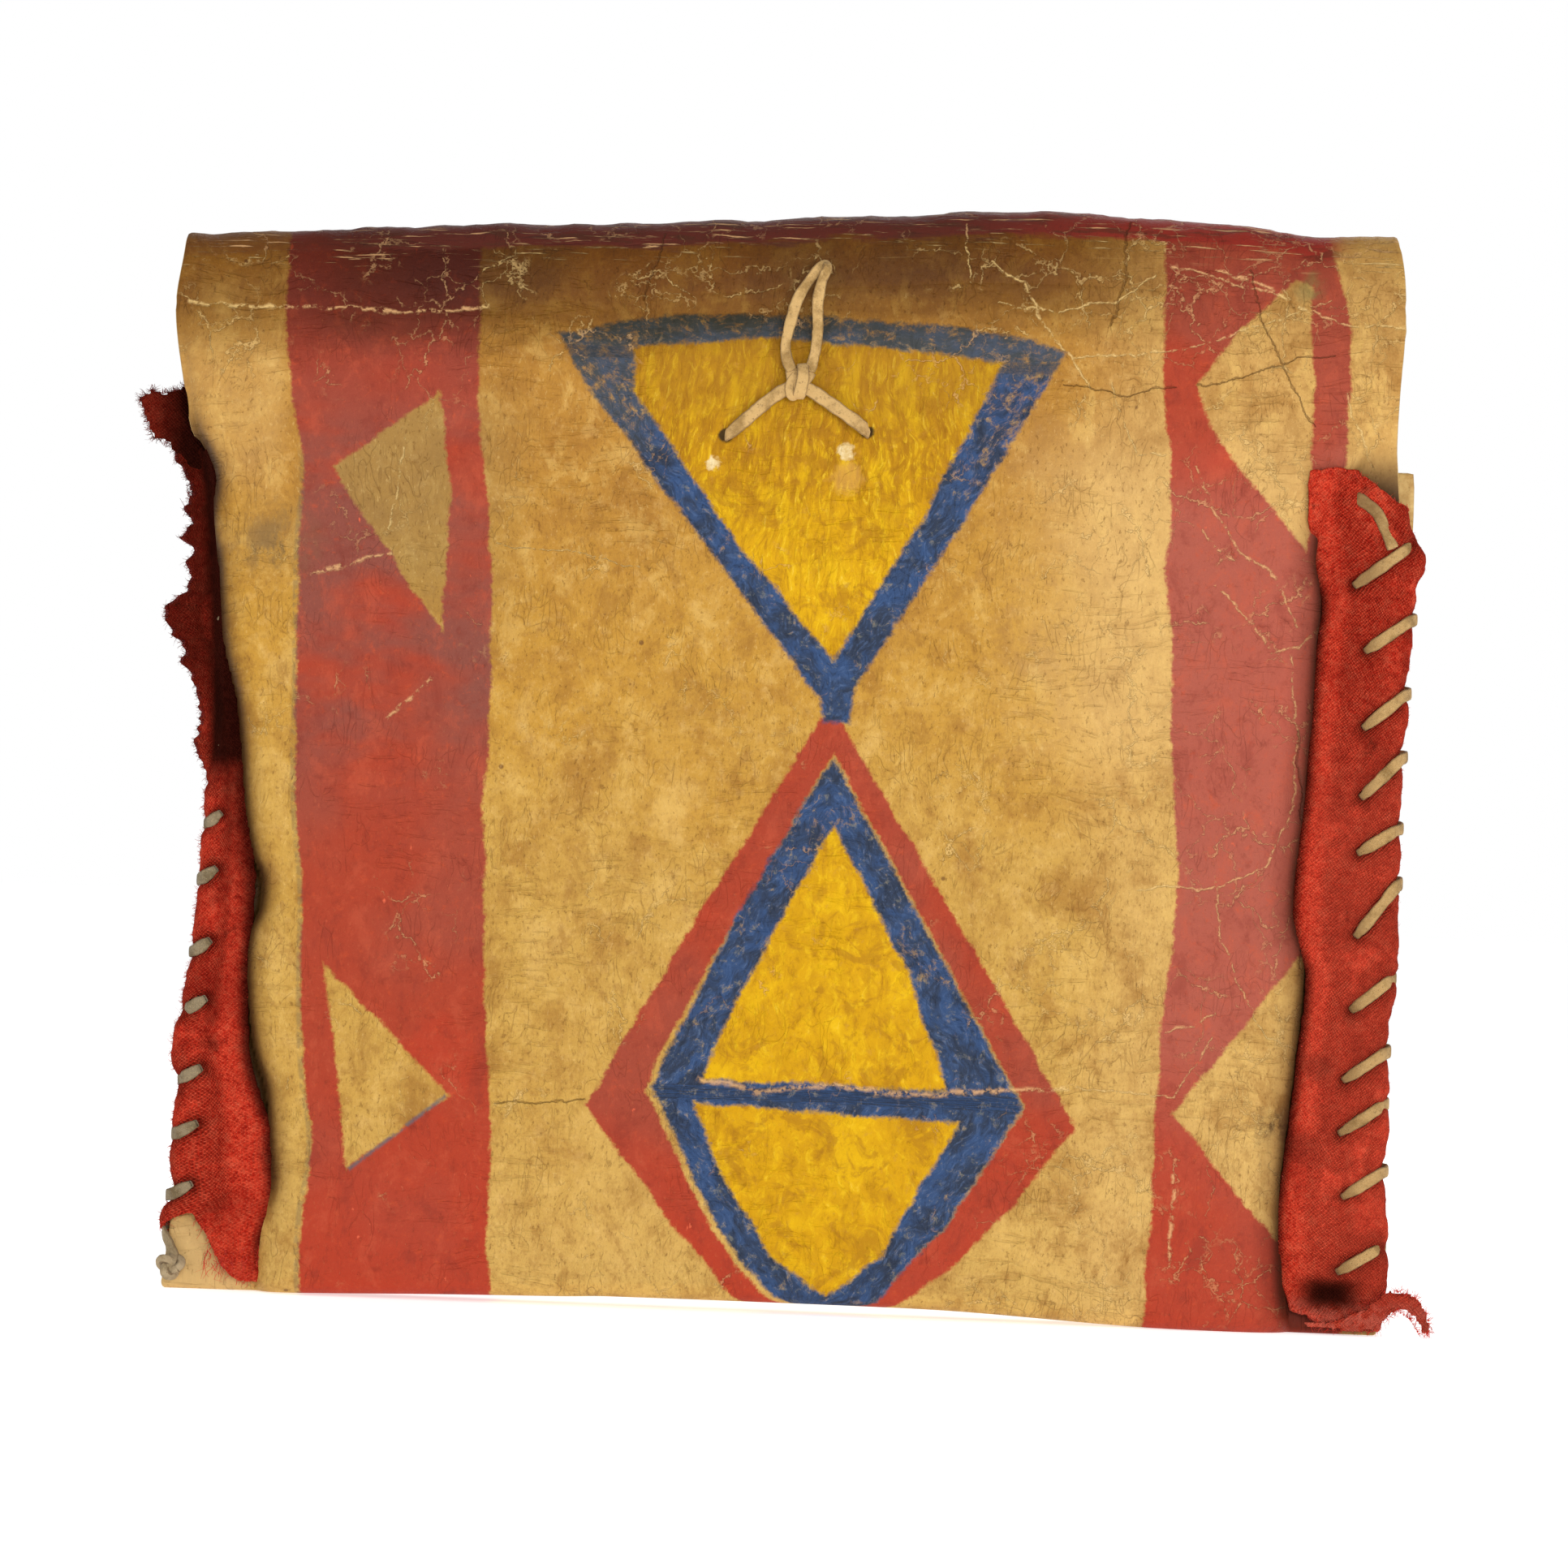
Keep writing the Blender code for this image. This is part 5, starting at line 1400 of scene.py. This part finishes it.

    # The top: brown darkening below the fold, partly grime and partly painted shade where the fold turns away
    # from the light, then a dark red band over the crest.
    rise = v - t.curve(u, [(x, z - FOLD_UP) for x, z in CREST_LINE], -158, 158, 240, 260)
    ragged = t.noise(uv * (0.25, 1.0, 1.0), 0.30, 4.0, 0.62)
    soft = rise + t.affine(ragged, 9.0, -4.5)
    less = t.affine(t.step(u, 50.0, 112.0), -0.80, 1.0) * t.affine(t.step(u, -106.0, -128.0), -0.3, 1.0)
    fold_grime_and_shade = t.step(soft, -18.0, -4.0) * t.step(rise, 66.0, 46.0) * less
    colour = t.darker(fold_grime_and_shade * 0.95, colour, rgb(174, 160, 116))
    # Darker still nearer the crest: grime and painted shade.
    crest_grime_and_shade = t.step(soft, -8.0, 4.0) * t.step(rise, 56.0, 44.0) * less
    tone = t.mix(t.step(cloud, 0.40, 0.60), rgb(184, 168, 156), rgb(212, 192, 152))
    colour = t.darker(crest_grime_and_shade * 0.95, colour, tone)
    crest_band = t.step(soft, 11.8, 14.0) * t.step(rise, 42.0, 37.0)
    crest_red = t.mix(t.step(u, 30.0, 100.0), rgb(86, 34, 24), rgb(138, 40, 28))
    crest_red = t.mix(t.step(ragged, 0.50, 0.64) * 0.6, crest_red, rgb(66, 38, 22))
    there = t.step(u, -124.0, -96.0) * t.step(u, 134.0, 126.0)
    there = t.affine(there, 0.72, 0.28) * t.step(u, 136.0, 130.0)
    colour = t.mix(crest_band * there * face, colour, crest_red)
    painted = (red_mask | (blue_mask | yellow_mask)) | crest_band

    # Scratches along the crest, the old cracks, and a sparse net of fine ones.
    scored = t.noise(uv * (0.07, 1.0, 1.0), 0.85, 4.0, 0.66, 0.3)
    scored = t.step(scored, 0.585, 0.65) * t.step(rise, 6.0, 13.0) * t.step(rise, 48.0, 34.0)
    wander = uv + t.drift(uv, 4.0, 0.16, 4.0, 0.62)
    wx, wy, _ = t.split(wander)
    wandering = t.join(wx, wy, 1.0)
    pale_lines = lines(t, wandering, PALE)
    dark_lines = lines(t, wandering, DARK)
    zone = t.noise(uv + (11.0, 200.0, 0.0), 0.045, 3.0, 0.6)
    amount = t.affine(t.step(u, 30.0, 100.0), 0.10, t.step(rise, -30.0, -4.0) * 0.09)
    shifted = uv + t.drift(uv, 9.0, 0.16, 4.0, 0.62)
    net = t.step(t.cells(shifted, 0.042), 0.016, 0.005)
    net = net | t.step(t.cells(shifted + (90.0, 31.0, 0.0), 0.075), 0.020, 0.008) * 0.6
    net = net * t.step(zone + amount, 0.56, 0.64)
    broken = t.step(t.noise(uv, 0.40, 3.0, 0.7), 0.40, 0.54)
    pale = (pale_lines | net * 0.55) * broken
    pale = (pale | scored) * face
    pale_colour = t.mix(painted, rgb(226, 190, 124), rgb(222, 172, 118))
    colour = t.mix(pale * 0.68, colour, pale_colour)
    colour = t.mix(dark_lines * face * 0.42, colour, rgb(92, 54, 24))

    # The tie's two holes, painted dark as shade over shallow dimples, two pale chips and a blot beside them.
    left_hole_shade, right_hole_shade = [t.near(wander, (x, y - 0.2, 0.0), 2.0, 1.1) for x, y in TIE_HOLES]
    colour = t.mix((left_hole_shade | right_hole_shade) * face * 0.92, colour, rgb(38, 26, 14))
    astray = uv + t.drift(uv, 5.0, 0.34, 3.0, 0.6)
    chips = t.near(astray, (-21.6, 209.4, 0.0), 2.1, 1.2) | t.near(astray, (11.2, 213.2, 0.0), 2.6, 1.4)
    chips = chips * face
    blot = t.near(astray, (11.9, 206.6, 0.0), 5.0, 2.4) * face
    colour = t.mix(blot * 0.40, colour, rgb(206, 156, 84))
    colour = t.mix(chips, colour, t.mix(t.step(mottle, 0.4, 0.6), rgb(228, 206, 158), rgb(206, 172, 108)))

    # Painted shade along both side creases, where the walls turn down to the seams, darkest next to the
    # seams; dirt in patches; and bare, paler hide inside and on cut edges.
    low = t.step(v, -6.0, 10.0) * t.step(v, 222.0, 206.0)
    left_side = t.curve(v, [p for p in FOOT_L if p[0] <= 262], 0, 262, -160, -120)
    right_side = t.curve(v, [p for p in FOOT_R if p[0] <= 262], 0, 262, 110, 150)
    high_left = t.step(v, 16.0, 30.0) * low
    # Painted shade on the hide's slopes beside both seams, near black right at them.
    crease_shade = t.step(u - left_side, 7.0, 0.5) * high_left | t.step(right_side - u, 9.0, 0.5) * low
    colour = t.darker(crease_shade * face * 0.62, colour, rgb(120, 88, 74))
    shadowed = t.step(u - left_side, 3.4, 0.4) * high_left | t.step(right_side - u, 3.4, 0.2) * low
    colour = t.mix(shadowed * face * 0.85, colour, rgb(44, 22, 10))
    border = t.step(abs(u - t.curve(v, STRIPE_LINES[0], 0, 400, -160, 160) + 0.5), 1.0, 0.3)
    border = border * t.step(v, 214.0, 200.0) * t.step(worn, 0.60, 0.48)
    colour = t.mix(border * face * 0.40, colour, rgb(98, 88, 66))
    uneven = t.affine(t.step(smear, 0.46, 0.56), 0.7, 0.3)
    for at_u, at_v, reach, tint in SMUDGES:
        smudge = t.near(shifted, (at_u, at_v, 0.0), reach, reach * 0.1) * uneven * face
        colour = t.mix(smudge * 0.62, colour, rgb(*tint))
    bare = t.mix(t.step(mottle, 0.35, 0.7), rgb(200, 168, 108), rgb(168, 128, 72))
    colour = t.mix(t.step(depth, 0.12, 0.4), colour, bare)

    rough = t.affine(mottle, 0.26, 0.36) + painted * 0.10
    fibre = t.noise(uv * (1.0, 0.7, 1.0), 2.6, 3.0, 0.65)
    height = mottle * 0.50 + fibre * 0.18 + (yellow_mask * strokes + blue_mask * bristle) * 0.40
    height = height - pale * 0.50 - dark_lines * 0.7 - shaded_hairs * 0.2 - shaded_wrinkles * 0.35 - net * 0.25
    height = height - smear * 0.35 - t.step(nicks, 0.60, 0.70) * 0.15
    normal = t.bump(height, 0.00070, 0.9)
    t.shader.inputs["Specular IOR Level"].default_value = 0.14
    return t.finish(colour, rough, normal)


WEFT, WARP = 0.98, 0.90


def wool_material():
    t = Tree("red_trade_cloth")
    u, v, _ = t.split(t.attribute("sheet"))
    shade = t.attribute("shade", "Fac")
    uv = t.join(u, v, 0.0)
    mm = t.place_mm()
    x, _, z = t.split(mm)
    wu, wv, _ = t.split(uv + t.drift(uv, 1.6, 0.22, 3.0, 0.6))
    weft = t.math("SINE", wu * (2 * math.pi / WEFT))
    warp = t.math("SINE", (wv + wu * 0.12) * (2 * math.pi / WARP))
    weave = t.affine(weft * warp, 0.5, 0.5)
    fuzz = t.noise(mm, 1.4, 4.0, 0.75)
    tuft = t.noise(mm, 0.40, 4.0, 0.66, 0.5)
    wide = t.noise(mm, 0.055, 3.0, 0.6)
    nap = t.step(t.noise(mm + (50.0, 0.0, 9.0), 0.07, 3.0, 0.6), 0.50, 0.66)
    nap = nap | t.step(u, 9.0, 5.0)
    speck = t.noise(mm, 2.4, 3.0, 0.7)
    colour = t.mix(t.step(fuzz, 0.34, 0.66), rgb(200, 38, 24), rgb(252, 86, 58))
    colour = t.coats(colour, (
        (t.step(tuft, 0.48, 0.68) * 0.60, (250, 104, 74)),
        (t.step(tuft, 0.47, 0.32) * 0.5, (150, 22, 15)),
    ))
    threads = (1.0 - weave) * t.affine(nap, -0.50, 1.0)
    colour = t.mix(threads * 0.66, colour, rgb(112, 12, 10))
    tops = t.step(weave, 0.70, 0.96) * t.step(speck, 0.44, 0.62)
    colour = t.mix(tops * 0.50, colour, rgb(252, 134, 106))
    rubbed = t.step(x, 126.0, 130.0) * t.step(z, 11.0, 5.0)
    colour = t.mix(rubbed * t.step(tuft, 0.36, 0.58) * 0.70, colour, rgb(222, 116, 98))
    flat = t.join(x, 0.0, z)
    soil = t.near(flat, (130.5, 0.0, 46.0), 6.5, 1.5) | t.near(flat, (133.5, 0.0, 66.0), 5.0, 1.5)
    colour = t.coats(colour, (
        (soil * 0.55, (66, 22, 16)),
        (t.step(wide, 0.50, 0.66) * 0.34, (138, 24, 16)),
    ))
    bright = t.step(x, 126.0, 136.0) * t.step(z, 170.0, 120.0)
    colour = t.mix(bright * 0.22, colour, rgb(255, 104, 76))
    stain = t.step(t.noise(mm + (7.0, 3.0, 80.0), 0.11, 5.0, 0.7), 0.62, 0.71)
    colour = t.mix(stain * 0.50, colour, rgb(84, 26, 18))
    # Painted shade: near black-red as far as the "shade" attribute goes.
    dark = t.mix(t.step(fuzz, 0.35, 0.65), rgb(8, 2, 1), rgb(34, 9, 6))
    colour = t.mix(shade * 0.97, colour, dark)
    height = weave * t.affine(nap, -0.5, 1.0) + fuzz * 0.6 + tuft * 0.7 + speck * 0.3
    normal = t.bump(height, 0.0012, 1.0)
    t.shader.inputs["Sheen Weight"].default_value = 0.03
    t.shader.inputs["Sheen Roughness"].default_value = 0.5
    t.shader.inputs["Sheen Tint"].default_value = rgb(255, 120, 70)
    t.shader.inputs["Specular IOR Level"].default_value = 0.02
    return t.finish(colour, t.affine(fuzz, 0.15, 0.84), normal)


def yarn_material():
    t = Tree("wool_yarn_ends")
    mm = t.place_mm()
    tone = t.noise(mm, 0.8, 3.0, 0.7)
    colour = t.mix(t.step(tone, 0.30, 0.68), rgb(176, 30, 20), rgb(230, 66, 46))
    colour = t.mix(t.step(t.noise(mm, 0.35, 2.0, 0.5), 0.64, 0.76), colour, rgb(212, 112, 92))
    x, _, z = t.split(mm)
    # Painted shade: yarn ends of the upper left flange, deep beside the hide, are near black-red.
    upper_flange_shade = t.step(x, -138.0, -142.0) * t.step(z, 112.0, 136.0)
    colour = t.mix(upper_flange_shade * 0.92, colour, t.mix(t.step(tone, 0.35, 0.6), rgb(58, 13, 13), rgb(118, 38, 36)))
    normal = t.bump(t.noise(mm, 6.0, 2.0, 0.6), 0.0002, 0.8)
    t.shader.inputs["Sheen Weight"].default_value = 0.12
    t.shader.inputs["Specular IOR Level"].default_value = 0.06
    return t.finish(colour, t.affine(tone, 0.1, 0.86), normal)


def thong_material():
    t = Tree("buckskin_thong")
    strip = t.attribute("strip")
    _, turn, _ = t.split(strip)
    mm = t.place_mm()
    cloud = t.noise(mm, 0.16, 4.0, 0.6)
    spot = t.noise(mm, 0.9, 4.0, 0.7)
    nap = t.noise(mm, 2.6, 3.0, 0.75)
    x, _, z = t.split(mm)
    grey = t.step(x, -120.0, -140.0)
    pale = t.step(x, -40.0, -20.0) * t.step(x, 40.0, 20.0)
    base = t.mix(grey, rgb(182, 146, 94), rgb(140, 124, 98))
    base = t.coats(base, (
        (pale, (204, 166, 108)),
        (t.step(x, -138.0, -142.0) * t.step(z, 17.0, 13.0), (172, 152, 120)),
    ))
    colour = t.mix(t.step(cloud, 0.34, 0.56), t.mix(1.0, base, rgb(196, 190, 176), "MULTIPLY"), base)
    colour = t.coats(colour, (
        (t.step(spot, 0.52, 0.72) * 0.50, (116, 88, 54)),
        (t.step(nap, 0.50, 0.75) * 0.40, (216, 188, 138)),
    ))
    side = t.step(abs(t.math("COSINE", turn)), 0.55, 0.95)
    colour = t.mix(side * 0.55, colour, rgb(98, 72, 42))
    # Painted shade: the right stitches darken towards the holes they dive into.
    hole_end_shade = t.step(x, 147.0, 141.0) * t.step(x, 120.0, 125.0)
    colour = t.mix(hole_end_shade * 0.62, colour, rgb(112, 82, 48))
    freckle = t.step(t.cells(mm, 0.75, "F1"), 0.16, 0.08) * t.step(cloud, 0.46, 0.56)
    colour = t.mix(freckle * 0.55, colour, rgb(84, 62, 40))
    normal = t.bump(nap * 0.6 + spot * 0.6, 0.0005, 0.9)
    t.shader.inputs["Sheen Weight"].default_value = 0.08
    t.shader.inputs["Specular IOR Level"].default_value = 0.12
    return t.finish(colour, t.affine(nap, 0.15, 0.78), normal)


def give(material, *pieces):
    for piece in pieces:
        piece.data.materials.clear()
        piece.data.materials.append(material)


give(hide_material(), hide_pocket, hide_flap)
give(wool_material(), *CLOTHS)
give(yarn_material(), *YARNS)
give(thong_material(), *THONGS, loop)

# Floor, lights and camera -----------------------------------------------------------------------

scene = bpy.context.scene
scene.view_settings.view_transform = "Standard"

floor_mesh = bpy.data.meshes.new("floor")
floor_mesh.from_pydata([(-6, -6, 0), (6, -6, 0), (6, 6, 0), (-6, 6, 0)], [], [(0, 1, 2, 3)])
floor = bpy.data.objects.new("floor", floor_mesh)
scene.collection.objects.link(floor)
paper = Tree("pale_floor")
speck = paper.noise(paper.place(), 40.0, 3.0, 0.6)
paper.shader.inputs["Emission Color"].default_value = (1, 1, 1, 1)
paper.shader.inputs["Emission Strength"].default_value = 0.60
pale = paper.mix(speck, rgb(240, 240, 239), rgb(246, 246, 245))
give(paper.finish(pale, 0.9, paper.bump(speck, 0.0003, 0.2)), floor)

world = bpy.data.worlds.new("studio")
scene.world = world
world.use_nodes = True
nodes, links = world.node_tree.nodes, world.node_tree.links
soft, output = nodes["Background"], nodes["World Output"]
soft.inputs["Color"].default_value = (0.97, 0.985, 1.0, 1)
soft.inputs["Strength"].default_value = 0.46
wall = nodes.new("ShaderNodeBackground")
wall.inputs["Color"].default_value = (1, 1, 1, 1)
either, ray = nodes.new("ShaderNodeMixShader"), nodes.new("ShaderNodeLightPath")
links.new(ray.outputs["Is Camera Ray"], either.inputs[0])
links.new(soft.outputs[0], either.inputs[1])
links.new(wall.outputs[0], either.inputs[2])
links.new(either.outputs[0], output.inputs[0])


def area(name, place, target, size, power, colour=(1, 1, 1)):
    data = bpy.data.lights.new(name, "AREA")
    data.shape, data.size, data.energy, data.color = "DISK", size, power, colour
    lamp = bpy.data.objects.new(name, data)
    lamp.location = place
    lamp.rotation_euler = (Vector(target) - Vector(place)).to_track_quat("-Z", "Y").to_euler()
    scene.collection.objects.link(lamp)
    return lamp


area("front", (0.25, -1.7, 0.55), (0, 0, 0.13), 0.45, 9.5, (1.0, 0.985, 0.95))
area("key", (0.95, -1.05, 0.34), (0, 0, 0.13), 0.35, 4.0, (1.0, 0.98, 0.94))
area("fill", (-1.1, -0.7, 0.6), (0, 0, 0.13), 0.9, 2.5)
area("right", (1.5, 0.5, 0.5), (0, 0, 0.13), 0.9, 3.0)
area("back", (0.2, 1.2, 0.9), (0, 0, 0.13), 0.9, 6.0)

LENS = 180
camera_data = bpy.data.cameras.new("camera")
camera_data.lens = LENS
camera = bpy.data.objects.new("camera", camera_data)
scene.collection.objects.link(camera)
scene.camera = camera
camera.location = (-0.0009, -FRONT * MM - 0.3864 * LENS / 36, 0.1308)
camera.rotation_euler = (math.radians(90), 0, 0)
camera.rotation_euler.rotate_axis("Z", math.radians(2.28))
